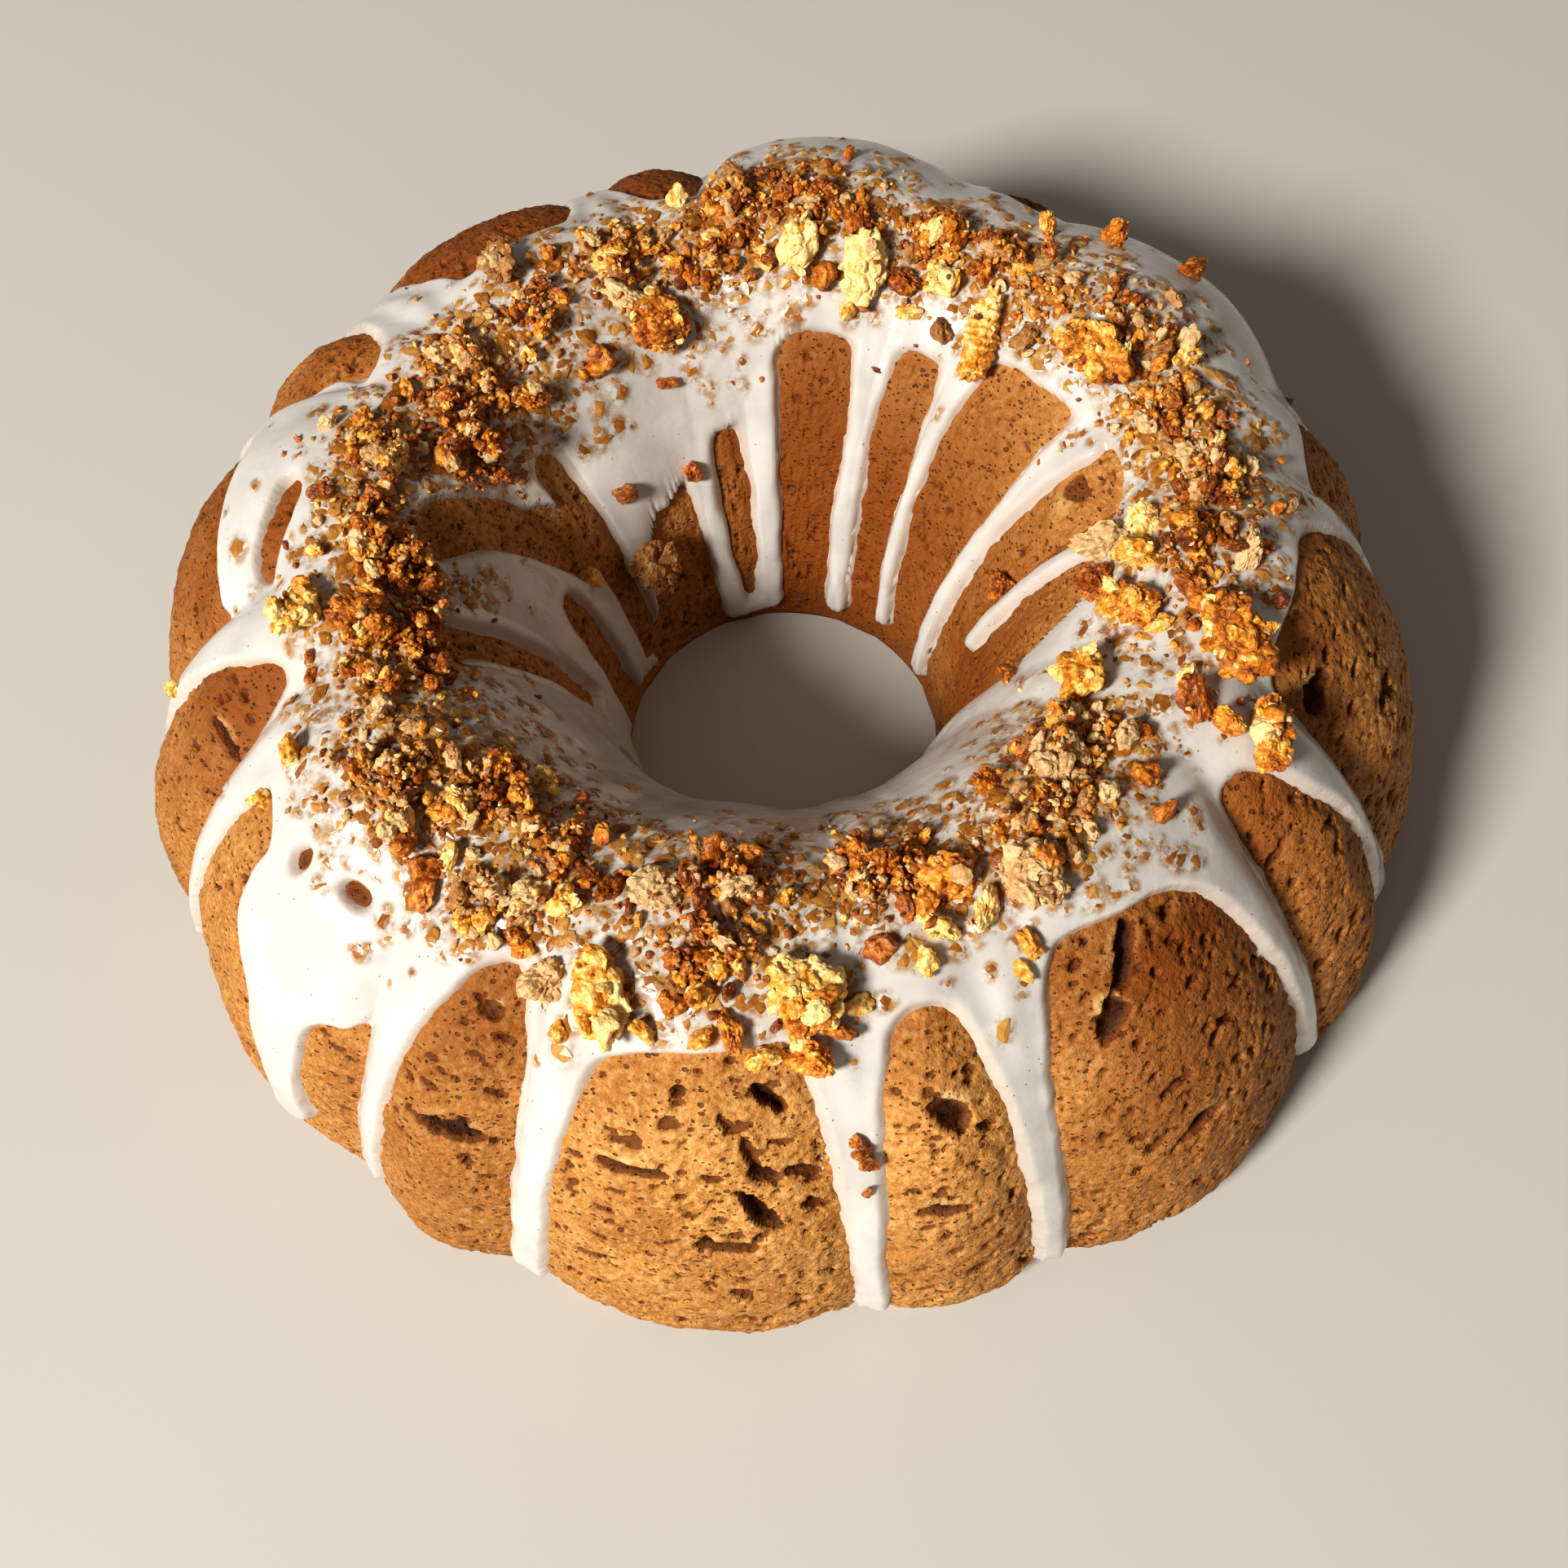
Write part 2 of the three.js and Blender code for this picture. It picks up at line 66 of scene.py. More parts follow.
# ---- The ring's sizes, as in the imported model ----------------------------

CREST_RADIUS = 76
PITCH = 45                        # one wide and one narrow lobe
FIRST_LOBE = -11                  # centre of the first wide lobe
WIDE_LOBE = 29
REACH = (49.1, 48.9, 43.9)        # crest to outer foot on a wide lobe, a narrow one, a groove
HOLE_REACH = (44.1, 44.3, 43.9)   # crest to the foot of the hole
HEIGHT = (77.4, 75.1, 71.1)
RISE_POWER = (2, 2.2)             # how square the outside's section is, in a groove and on a lobe
RUN_POWER = (1.8, 1.95)
HOLE_POWER = 1.75                 # how square the section is in the hole
WIDE_ROUNDNESS, NARROW_ROUNDNESS, NARROW_FALL = 0.8, 0.85, 1.6
FOOT_TUCK = 3.5
FOOT_TUCK_HEIGHT = 10
LOBE_PUSH = (0, -0.5, 1.4, 0.5, 0.4, -0.9, -0.9, -0.4, 0.3, 2.3, 0.9, 1.6, 0, 0.8, -0.9, -0.3)
OVER_SCALE = 1.1                  # millimetres of crust for one degree of "over"

# ---- The glaze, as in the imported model, with an uneven edge and two bare spots ----

# Where the sheet ends over each lobe's middle, and how much that edge slants round the ring.
OUTER_EDGE = (63.5, 70.5, 69, 73, 72, 60, 44, 70, 52, 85, 83, 81, 60, 78, 58, 73)
OUTER_SLANT = (0.25, 0, -0.35, 0, -0.1, 0, 0, 0, 0, 0, 0, 0, 0, 0.1, -1.3, 0)
INNER_EDGE = (150, 154, 148, 146, 117, 107, 114, 120, 122, 137, 148, 174, 174, 170, 152, 153)
WIDE_SHARE = WIDE_LOBE / PITCH    # where the groove lies between a wide lobe and the next
EDGE_STEP = 0.13                  # how soon the edge of one lobe gives way to the next
# Drips: around and over at the neck, around and over at the tip,
# half-width at the tip, and how far the middle bows sideways (degrees).
OUTER_DRIPS = (
    (-22.2, 74, -24.9, 8, 3.6, 0), (3.4, 74, 4.2, 7, 2.9, 0), (19.4, 74, 19.9, 7, 2.9, -0.5),
    (44.6, 74, 49, 10, 2.9, 0.4), (60, 74, 65.2, 11, 3.3, 0), (90.5, 74, 93.5, 22, 3.6, 0.5),
    (109, 70, 109.5, 20, 4, 0), (137.5, 70, 138.5, 16, 3.6, 0), (153.5, 74, 154.8, 12, 3.5, 0),
    (-178.5, 90, -176.8, 20, 3.6, 0), (-160.5, 90, -160.3, 12, 3.4, 0), (-131.5, 78, -131.5, 25, 3.6, 0),
    (-112.5, 74, -115.3, 14, 3.8, 0), (-82.5, 76, -86.3, 26, 3.8, 0), (-67, 76, -69.2, 16, 3.7, 0.4),
    (-50.8, 46, -49.4, 13, 3.2, -0.4), (-37, 74, -40.6, 12, 3.6, -0.6),
)
INNER_DRIPS = (
    (155, 118, 155.5, 173, 2.5, 0), (136.5, 118, 135, 171, 1.9, 1.2), (108, 112, 113, 174, 2.3, 0),
    (84.5, 104, 90, 151, 1.8, 0), (66, 112, 56, 172, 3, -1), (182, 128, 181.5, 173, 2.8, -1.5),
    (-160.5, 132, -165, 174, 2.5, 1), (-70, 140, -70.5, 173, 3, 0), (-41.5, 145, -41.5, 165, 3, 0),
    (-25.5, 148, -25.5, 172, 2.8, 0), (3.5, 148, 3.5, 164, 2.8, 0), (19.5, 148, 19.5, 174, 2.8, 0),
    (48.5, 142, 48.5, 168, 2.8, 0),
)
OUTER_NECK, INNER_NECK = 9.5, 5   # half-width where a drip leaves the sheet
OUTER_FLARE, INNER_FLARE = 20, 12  # degrees over which a drip narrows from its neck
FLARE_POWER = 1.3
OUTER_BLEND, INNER_BLEND = 7, 3
# Oval patches: around, over, half-width, half-height.
GLAZED_PATCHES = ((-51, 51, 13, 14), (-171.5, 174.5, 4.6, 2))
BARE_SPOTS = ((-54, 63, 1.9, 3), (-47.5, 65, 2.2, 1.7))
# Bare streaks: around and over at one end, the same at the other end, half-width at each.
BARE_STREAKS = (
    (-98.6, 78.3, -90, 72.5, 3.2, 2.6), (-97, 114, -119, 141, 5.5, 6), (-102, 146, -101, 182, 3.5, 6),
    (-125.5, 128, -126, 170, 3.5, 3.5), (-76, 115, -80.5, 152, 3.5, 3.5),
)
EDGE_WAVE, EDGE_WAVE_SIZE = 0.45, 7
GLAZE_THICKNESS = 1.9
GLAZE_EDGE = 2.6                  # breadth of the glaze's rounded edge
VALLEY_FILL = 0.7                 # how far thick glaze levels the grooves between lobes
FILL_BREADTH = 8                  # glaze this far in from its edge levels them fully
LEVEL_POWER = 4                   # how sharply a levelled groove meets the lobes
GAP = 0.3                         # clearance between neighbouring solids

# ---- Toppings ------------------------------------------------------------

# Lumps: around, over, length round the ring, length over it, height, turn, what it is made
# of, how its surface is built, and how pale it is at its outer and at its inner end.
LUMPS = (
    (-18.6, 70, 10.5, 18, 8, 24, "honeycomb", "folded", 0.85, 0.75),
    (-0.2, 73.8, 13.5, 13, 8, 0, "honeycomb", "granular", 0.5, 0.85),
    (27.2, 82, 10, 13, 6, 12, "oats", "crumbly", 0.5, 0.75),
    (37.8, 99.5, 9.5, 8.5, 6, 0, "oats", "crumbly", 0.5, 0.8),
    (67, 83, 12, 19, 9, -47, "toffee", "granular", 0.4, 0.3),
    (57.6, 71.2, 15, 7, 7, 21, "toffee", "granular", 0.25, 0.6),
    (55, 108.7, 10.5, 9.5, 7, 30, "honeycomb", "granular", 0.6, 0.5),
    (69.8, 106, 7.5, 15, 6, -20, "toffee", "granular", 0.35, 0.65),
    (117.5, 100.3, 18, 10.5, 8, 10, "toffee", "granular", 0.35, 0.35),
    (133.8, 111.5, 7, 19, 6.5, 21, "honeycomb", "ridged", 1.0, 0.6),
    (148.3, 94.6, 10, 8.5, 7, 0, "toffee", "granular", 0.35, 0.35),
    (146.2, 105.6, 8, 7.5, 6, 0, "honeycomb", "folded", 0.75, 0.85),
    (160.6, 108.3, 10, 17, 7, 4, "honeycomb", "folded", 1.1, 1.2),
    (171.2, 105.5, 9, 13.5, 7, -15, "honeycomb", "folded", 1.15, 1.05),
    (-159.8, 115.5, 12, 13.5, 8, 0, "toffee", "granular", 0.5, 0.3),
    (-142.3, 89.3, 8, 10.5, 5, -50, "oats", "crumbly", 0.3, 0.4),
    (-136.5, 153, 11, 13, 7, 20, "oats", "crumbly", 0.2, 0.3),
    (-76.8, 95.5, 10, 9.5, 6, 10, "toffee", "granular", 0.3, 0.3),
    (-79.6, 82.5, 9.5, 10, 6, 0, "honeycomb", "granular", 0.6, 0.75),
    (-47.3, 80, 6, 9.5, 5, 45, "honeycomb", "folded", 0.75, 0.85),
)
LUMP_ROUGHNESS, LUMP_BOXINESS = 0.3, 0.35
LUMP_CROOKEDNESS = 0.9
LUMP_STANCE = 0.3                 # how far up its height a lump's middle stands
LUMP_HEAP = 0.75                  # crumbs lie no higher on a lump than this share of its height
LARGE_LUMP = 11                   # lumps longer than this get a finer mesh
# Bits stuck to the lumps, coarse and fine: how many on a square millimetre of each way of
# building, their smallest and largest size, and the detail of their meshes.
STUCK_BITS = (
    ({"granular": 0.09, "crumbly": 0.1, "folded": 0.03, "ridged": 0}, 2.6, 4.8, 3),
    ({"granular": 0.4, "crumbly": 0.28, "folded": 0.1, "ridged": 0.05}, 1.1, 2.4, 2),
)
FLAKE_SHARE, FLAKE_PALE = 0.12, 1.1    # how many of the stuck bits are pale flakes, and how pale
CORE_SHARE = 0.88                 # how much of a lump's size its core takes, under the stuck bits

# Where crumbs gather: around, over, spread in millimetres, share, and how much is toffee.
CRUMB_CLUSTERS = (
    (-125, 105, 11, 1.6, 0.6), (-114, 111, 8, 1, 0.75), (-142, 103, 7, 0.5, 0.7), (-106, 95, 7, 0.6, 0.6),
    (-92, 100, 8, 0.9, 0.5), (-85, 106, 8, 1.1, 0.9), (-71, 105, 8, 1.1, 0.8), (-68, 93, 7, 0.5, 0.5),
    (-52, 86, 9, 1.5, 0.3), (-43, 100, 7, 0.9, 0.75), (-33, 80, 8, 0.7, 0.3), (-32, 97, 8, 0.7, 0.6),
    (-9, 81, 9, 1, 0.6), (-8, 97, 9, 0.6, 0.6), (12, 94, 9, 1.3, 0.75), (33, 90, 8, 1.2, 0.5),
    (42, 101, 9, 1.4, 0.45), (78, 93, 8, 0.8, 0.8), (90, 88, 10, 1.3, 0.6), (104, 92, 10, 1, 0.55),
    (118, 88, 9, 0.7, 0.7), (131, 98, 7, 0.5, 0.6), (139, 92, 8, 0.9, 0.6), (152, 96, 8, 0.5, 0.7),
    (168, 94, 9, 0.8, 0.8), (179, 90, 10, 1.2, 0.8), (-174, 105, 7, 0.7, 0.8), (-158, 100, 8, 1, 0.5),
)
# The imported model's own large crumbs.
PACKED_COUNT, PACKED_LARGEST, PACKED_SMALLEST = 56, 6.5, 3.2
PACKED_SEED, PACKED_TRIES, PACKED_SPREAD, PACKED_OVERLAP = 2024, 40, 1.6, 0.3
# Loose crumbs, coarse and fine: how many, their largest and smallest size, how many of them
# lie outside the clusters, and how deep they sink.
LOOSE_CRUMBS = ((1250, 4.2, 1.4, 0.10, 0.2), (4000, 1.7, 0.9, 0.12, 0.25))
SETTLE = 0.25                     # how deep larger crumbs sink, as a share of their size
OATS_SHARE = 0.74                 # how many of the crumbs that aren't toffee are oats
CRUMB_NAMES = {"toffee": "toffee_crumbs", "oats": "oat_crumbs", "honeycomb": "honeycomb_crumbs"}
TOP =cad_high[2] / MM + 1        # no crumb is piled higher than this
BAND_LOW, BAND_HIGH = 52, 132     # crumbs stay between these places over the ring
BAND_MIDDLE, BAND_SPREAD = 96, 12
CRUMB_JAG = 0.14
DETAIL_FROM = ((1, 0), (2, 1.5), (3, 2.9), (4, 5.6))   # mesh detail, and the crumb size it starts at
FLECK_COUNT = 6500                # crumbs sunk into the glaze
FLECK_SHORTEST, FLECK_LONGEST = 1.4, 4.6
FLECK_SPREAD = (9, 11)            # degrees round and over the ring, about the clusters' middles
FLECK_THINNESS, FLECK_DEPTH = 0.13, 0.08    # shares of a fleck's length

# Single bits by what they are made of: around, over, size, how pale it is.
BITS = {
    "honeycomb": (
        (-14.4, 67.2, 5.5, 0.75), (-3.8, 65.3, 6.5, 0.8), (-1.2, 66.5, 5, 0.95), (-9.5, 66.8, 4.5, 0.7),
        (-22.3, 62.8, 3, 0.7), (-9, 78.7, 5, 0.6), (-6.2, 82.2, 4.5, 0.8), (-10, 73.6, 4.5, 0.7),
        (-25.8, 83, 6, 0.9), (-33.6, 76.5, 5, 0.75), (5.7, 71.3, 5, 0.85), (18.3, 88.5, 8, 0.6),
        (14.6, 81.8, 6.5, 0.95), (20.7, 80.7, 7, 0.95), (12.7, 76.5, 4, 0.85), (29.2, 83.3, 5, 0.45),
        (66.5, 98.5, 4.5, 0.85), (78.5, 106.3, 8, 0.8), (84, 105, 6, 0.95), (56.5, 78.5, 6, 0.6),
        (59.3, 88.5, 4, 0.95), (137.3, 94.5, 7, 0.6), (131.5, 70, 7.5, 0.5), (138.5, 77, 6, 0.7),
        (110.5, 81.5, 6, 0.9), (149.8, 113, 5, 0.9), (162.2, 116.5, 5, 0.85), (177.3, 107.8, 5, 0.85),
        (-155.3, 101.5, 6.5, 0.9), (-140.8, 107, 5, 0.6), (-127.5, 101.3, 7, 0.95), (-131.5, 115, 7, 0.5),
        (-114.5, 110.5, 5, 0.85), (-104.3, 101, 8.5, 0.9), (-117, 146, 5, 0.7), (-62.6, 73, 5, 0.75),
        (-62.8, 61.5, 4.5, 0.8), (-41, 81.2, 4.5, 0.9), (-44, 90, 6, 0.9), (-46, 105, 6, 0.5),
        (-83, 45, 3, 0.9),
    ),
    "toffee": (
        (0, 63.7, 7, 0.55), (2.9, 67.3, 5.5, 0.35), (-7, 68, 6, 0.5), (8.8, 80.5, 5, 0.3),
        (-10.4, 84.6, 4.5, 0.6), (23.8, 72.6, 5.5, 0.6), (42.7, 77.3, 5, 0.35), (44.5, 84.2, 5.5, 0.4),
        (75, 114.5, 6.5, 0.3), (72.5, 94, 5.5, 0.3), (56.8, 85, 8, 0.3), (48.5, 92.8, 3.5, 0.4),
        (93, 139, 6.5, 0.3), (61, 131, 5, 0.3), (123.5, 62, 6.5, 0.35), (153.3, 108, 6.5, 0.25),
        (167, 111.5, 5.5, 0.4), (163.3, 98.5, 6, 0.3), (140.3, 99.8, 4.5, 0.5), (-130, 96.5, 5, 0.5),
        (-146.3, 119.3, 5.5, 0.4), (-158.5, 126.5, 4, 0.35), (-158, 142, 5, 0.4), (-138, 140, 4.5, 0.3),
        (-42.3, 76.8, 5, 0.4), (-41, 73, 5, 0.45), (-21.5, 88.5, 6.5, 0.3), (-97, 87.3, 4, 0.35),
        (4.5, 46.5, 4.5, 0.35), (5.1, 44.5, 3.5, 0.25), (4.2, 48.5, 3, 0.35), (4.6, 38.5, 3, 0.4),
        (112, 39.5, 4, 0.25),
    ),
    "oats": (
        (-25, 69.8, 7.5, 0.75), (-30.2, 83, 6, 0.95), (-16, 90, 7.5, 0.85), (-7.5, 93.5, 6, 0.9),
        (32.5, 90.5, 4.5, 0.9), (83.5, 114.5, 8, 0.8), (78, 83.5, 7, 0.9), (46.2, 106, 7, 0.8),
        (112.5, 80.5, 5, 0.8), (143.5, 114, 5.5, 0.3), (127.3, 108, 6, 0.35), (153.5, 101.5, 5, 0.3),
        (141.7, 92.5, 5, 0.7), (-155.3, 108.5, 8.5, 0.95), (-124.7, 95.3, 4.5, 0.95),
    ),
}

# Cracks and pits in the crust: around, over, length, breadth, turn up from level, depth,
# and how much pale torn crumb shows along the upper lip.
CRACKS = (
    (-31, 37.5, 15, 4, 4, 3.4, 0.3), (-30, 61.5, 4, 3.6, 0, 1.6, 0.8), (-11.2, 57, 2.8, 2.3, 80, 2, 0),
    (-3.6, 56.5, 7.5, 2.7, -46, 2.6, 0), (-6.8, 51.5, 6, 1.8, -48, 1.3, 0), (-5.1, 46.5, 9, 2, -70, 1.6, 0),
    (-3.8, 42.5, 5.5, 3, -15, 2.2, 0), (-20, 42, 4.5, 1.8, -5, 1.8, 0), (-15.3, 42.3, 14, 2.4, -3, 2.2, 1),
    (-10.8, 38.5, 2.6, 2, 0, 1.8, 0), (-10, 34.5, 2.8, 1.7, 10, 1.6, 0), (-7.5, 34, 2.8, 1.7, -10, 1.6, 0),
    (-4.5, 36, 12, 3.4, -51, 2.8, 0), (-7, 28.5, 11, 2.8, 0, 2.8, 0), (-6.2, 17, 5, 2.4, -20, 2.2, 0),
    (-22.5, 22, 4.5, 1.7, 0, 1.5, 0), (-0.4, 42.3, 7, 2.2, -12, 2, 0), (0.2, 35.8, 6, 2, -12, 2, 0),
    (-17, 13, 6, 1.3, -28, 0.5, 0.9), (12, 50, 9, 5, -58, 2.2, 1), (10.4, 31.5, 11, 2.8, -8, 2.3, 0.9),
    (31, 62, 13, 4.5, 60, 2.8, 0.4), (28, 54, 9, 5, 50, 2.4, 0.9), (33, 27, 13, 4, 18, 3.2, 0.2),
    (31.5, 37, 6, 2.6, 0, 2, 0), (68, 60, 8, 6, 20, 2.6, 0.5), (74, 44, 9, 3, 5, 2.4, 0.2),
    (-74, 56, 9, 3, -5, 2.2, 0.5), (122, 36, 12, 3.4, 4, 2.6, 0.4), (166, 34, 13, 3.6, -5, 2.8, 0.4),
    (-146, 48, 12, 3.2, 6, 2.6, 0.4), (-101, 30, 14, 3.6, -4, 3, 0.4), (101, 118, 8, 6, 20, 1.3, 0.4),
    (-168, 22, 9, 2.6, 8, 2.2, 0.3), (146, 20, 8, 2.4, -6, 2, 0.3), (-124, 24, 10, 2.6, 5, 2.2, 0.3),
    (-54, 63, 6.5, 6.5, 0, 0.8, 0), (-47.5, 65, 6, 5, 0, 0.7, 0),
)

# How much darker each lobe is painted than the palest, outside and in the hole: partly darker bake, partly
# painted shade on the lobes that the light reaches least.
SHADE_AND_BAKE_OUTSIDE = (0, 0.1, 0.5, 0.6, 0.25, 0.3, 0.4, 0.5, 0.8, 1, 0.6, 0.35, 0.75, 0.45, 0.2, 0.5)
SHADE_AND_BAKE_INSIDE = (0.1, 0.1, 0.1, 0.2, 0.4, 0.3, 0.4, 0.5, 0.6, 0.3, 0, 0, 0, 0, 0.05, 0.1)
# How much darker it is painted deep in the hole and close under the glaze, as painted shade in the recess
# and below the glaze's edge and crumbs, and in scattered patches, as darker bake.
PAINTED_SHADE_IN_HOLE, BAKED_PATCHES, PAINTED_SHADE_UNDER_GLAZE = 0.5, 0.25, 0.28

# Seeds, so that every run gives the same cake.
CRACK_SEED, EDGE_SEED, THICKNESS_SEED, BAKED_SEED, TORN_SEED = 5, 60, 70, 50, 77
PORE_SEED, SCATTER_SEED, STUCK_SEED, JAG_SEED, PATCHY_SEED = 3, 12, 100, 21, 40
CROOKED_SEEDS = (51, 52, 53)

# ---- Numbers and noise ---------------------------------------------------


def mix(low, high, share):
    return low + (high - low) * share


def smooth_step(low, high, value):
    share = np.clip((value - low) / (high - low), 0, 1)
    return share * share * (3 - 2 * share)


def smooth_max(a, b, blend):
    share = np.clip(0.5 + (a - b) / (2 * blend), 0, 1)
    return mix(b, a, share) + blend * share * (1 - share)


def wrap(angle):
    return (angle + 180) % 360 - 180


def lattice(x, y, z, seed):
    """A number from 0 to 1 for each whole-numbered point, the same on every run."""
    mixed = (x * 374761393 + y * 668265263 + z * 1440662683 + seed * 1274126177) & 0xFFFFFFFF
    mixed = ((mixed ^ (mixed >> 13)) * 1274126177) & 0xFFFFFFFF
    return ((mixed ^ (mixed >> 16)) & 0xFFFFFF) / 0x1000000


def noise(points, size, seed):
    """Smooth noise from -1 to 1, with bumps about size across."""
    scaled = points / size
    cell = np.floor(scaled).astype(np.int64)
    share = smooth_step(0, 1, scaled - cell)
    total = np.zeros(points.shape[:-1])
    for corner in itertools.product((0, 1), repeat=3):
        weight = np.prod(np.where(np.array(corner) == 1, share, 1 - share), axis=-1)
        total += weight * lattice(*np.moveaxis(cell + corner, -1, 0), seed)
    return total * 2 - 1


def layered_noise(points, size, seed, layers=3):
    return sum(noise(points, size / 2**layer, seed + layer) / 2**layer for layer in range(layers))


def cell_distance(points, size, seed):
    """Distance to the nearest of many scattered points, in units of size."""
    scaled = points / size
    cell = np.floor(scaled).astype(np.int64)
    nearest = np.full(points.shape[:-1], 9.0)
    for step in itertools.product((-1, 0, 1), repeat=3):
        other = cell + step
        place = [lattice(*np.moveaxis(other, -1, 0), seed + axis) for axis in range(3)]
        place = np.stack(place, axis=-1)
        nearest = np.minimum(nearest, np.linalg.norm(other + place - scaled, axis=-1))
    return nearest


def grains(points, size, seed):
    """Rounded grains, 1 on top of each and 0 between them."""
    return np.sqrt(np.clip(1 - (cell_distance(points, size, seed) / 0.85) ** 2, 0, 1))


def oval_distance(x, y, turn, half_length, half_width):
    """How far out a point lies in a turned oval, 1 on its outline."""
    c, s = math.cos(math.radians(turn)), math.sin(math.radians(turn))
    return np.hypot((x * c + y * s) / half_length, (y * c - x * s) / half_width)


# ---- The ring ------------------------------------------------------------


def per_lobe(values, around):
    """Value of a per-lobe list at any angle round the ring, eased from lobe to lobe."""
    place = ((around - FIRST_LOBE) % 360) / (PITCH / 2)
    lobe = np.floor(place).astype(int)
    ease = (1 - np.cos((place - lobe) * np.pi)) / 2
    values = np.array(values, float)
    return mix(values[lobe % len(values)], values[(lobe + 1) % len(values)], ease)


def outer_edge(around):
    """Where the sheet ends on the outside: level over each lobe, and stepping in the grooves."""
    place = ((around - FIRST_LOBE) % 360) / (PITCH / 2)
    lobe = np.floor(place).astype(int)
    groove = np.where(lobe % 2 == 0, WIDE_SHARE, 1 - WIDE_SHARE)
    ease = smooth_step(groove - EDGE_STEP, groove + EDGE_STEP, place - lobe)
    edge, slant = np.array(OUTER_EDGE, float), np.array(OUTER_SLANT, float)
    after = (lobe + 1) % len(edge)
    here = edge[lobe] + slant[lobe] * (place - lobe) * PITCH / 2
    there = edge[after] + slant[after] * (place - lobe - 1) * PITCH / 2
    return mix(here, there, ease)


def flute(around):
    """How far a point is on a wide lobe and on a narrow one, both 0 in the grooves."""
    from_wide = np.abs((around - FIRST_LOBE + PITCH / 2) % PITCH - PITCH / 2)
    half = WIDE_LOBE / 2
    across = np.clip((PITCH / 2 - from_wide) / (PITCH / 2 - half), 0, 1)
    wide = np.clip(1 - (from_wide / half) ** 2, 0, 1) ** WIDE_ROUNDNESS
    narrow = np.where(from_wide < half, 0, (1 - across**NARROW_FALL) ** NARROW_ROUNDNESS)
    return wide, narrow


def ring_point(around, over, fill=0.0):
    """A point on the ring; fill levels the grooves, as glaze does."""
    wide, narrow = flute(around)
    lobed = wide + narrow
    levelled = (lobed**LEVEL_POWER + fill**LEVEL_POWER) ** (1 / LEVEL_POWER) - lobed

    def at(sizes):
        on_wide, on_narrow, in_groove = sizes
        return in_groove + (on_wide - in_groove) * (wide + levelled) + (on_narrow - in_groove) * narrow

    run = np.cos(np.radians(over))
    rise = np.sin(np.radians(np.clip(over, 0, 180)))
    outward, inward = np.clip(run, 0, 1), np.clip(-run, 0, 1)
    reach = at(REACH) + per_lobe(LOBE_PUSH, around) * outward
    outer_z = at(HEIGHT) * rise ** (2 / mix(*RISE_POWER, lobed))
    tuck = FOOT_TUCK * np.clip(1 - outer_z / FOOT_TUCK_HEIGHT, 0, 1) ** 2
    outer_radius = CREST_RADIUS + reach * outward ** (2 / mix(*RUN_POWER, lobed)) - tuck
    inner_radius = CREST_RADIUS - at(HOLE_REACH) * inward ** (2 / HOLE_POWER)
    inner_z = at(HEIGHT) * rise ** (2 / HOLE_POWER)
    outside = run > 0
    radius = np.where(outside, outer_radius, inner_radius)
    z = np.where(outside, outer_z, inner_z)
    angle = np.radians(around)
    return np.stack([radius * np.sin(angle), -radius * np.cos(angle), z], axis=-1)


def ring_normal(around, over, fill=0.0):
    step = 1.2
    low, high = np.clip(over - step, 0.5, 179.5), np.clip(over + step, 0.5, 179.5)
    along = ring_point(around + step, over, fill) - ring_point(around - step, over, fill)
    across = ring_point(around, high, fill) - ring_point(around, low, fill)
    normal = np.cross(along, across)
    return normal / np.linalg.norm(normal, axis=-1, keepdims=True)


def inside_drips(inside, drips, neck_half, flare, blend, around, over, radius):
    for neck_around, neck_over, tip_around, tip_over, foot, bow in drips:
        share = np.clip((over - neck_over) / (tip_over - neck_over), 0, 1)
        middle = mix(neck_around, tip_around, share) + bow * np.sin(np.pi * share)
        sideways = np.radians(wrap(around - middle)) * radius
        past = (over - mix(neck_over, tip_over, share)) * OVER_SCALE
        narrowed = share * abs(tip_over - neck_over) / flare
        half = foot + (neck_half - foot) * np.exp(-narrowed**FLARE_POWER)
        inside = smooth_max(inside, half - np.hypot(sideways, past), blend)
    return inside


def inside_patch(patch, around, over, radius):
    patch_around, patch_over, half_width, half_height = patch
    x = np.radians(wrap(around - patch_around)) * radius / half_width
    y = (over - patch_over) * OVER_SCALE / half_height
    return (1 - np.hypot(x, y)) * min(half_width, half_height)


def inside_streak(streak, around, over, radius):
    from_around, from_over, to_around, to_over, from_half, to_half = streak
    x = np.radians(wrap(around - from_around)) * radius
    y = (over - from_over) * OVER_SCALE
    along_x = math.radians(to_around - from_around) * radius
    along_y = (to_over - from_over) * OVER_SCALE
    share = np.clip((x * along_x + y * along_y) / (along_x**2 + along_y**2), 0, 1)
    return mix(from_half, to_half, share) - np.hypot(x - share * along_x, y - share * along_y)


def packed_inside(around, over):
    """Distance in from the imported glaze's edge, negative where the crust is bare."""
    point = ring_point(around, over)
    place = around, over, np.hypot(point[..., 0], point[..., 1])
    from_outer = (over - outer_edge(around)) * OVER_SCALE
    from_inner = (per_lobe(INNER_EDGE, around) - over) * OVER_SCALE
    inside = np.minimum(from_outer, from_inner)
    outer = inside_drips(inside, OUTER_DRIPS, OUTER_NECK, OUTER_FLARE, OUTER_BLEND, *place)
    inner = inside_drips(inside, INNER_DRIPS, INNER_NECK, INNER_FLARE, INNER_BLEND, *place)
    for patch in GLAZED_PATCHES:
        outer = smooth_max(outer, inside_patch(patch, *place), OUTER_BLEND)
        inner = smooth_max(inner, inside_patch(patch, *place), INNER_BLEND)
    inside = np.where(over < 90, outer, inner)
    for streak in BARE_STREAKS:
        inside = np.minimum(inside, -inside_streak(streak, *place))
    return inside


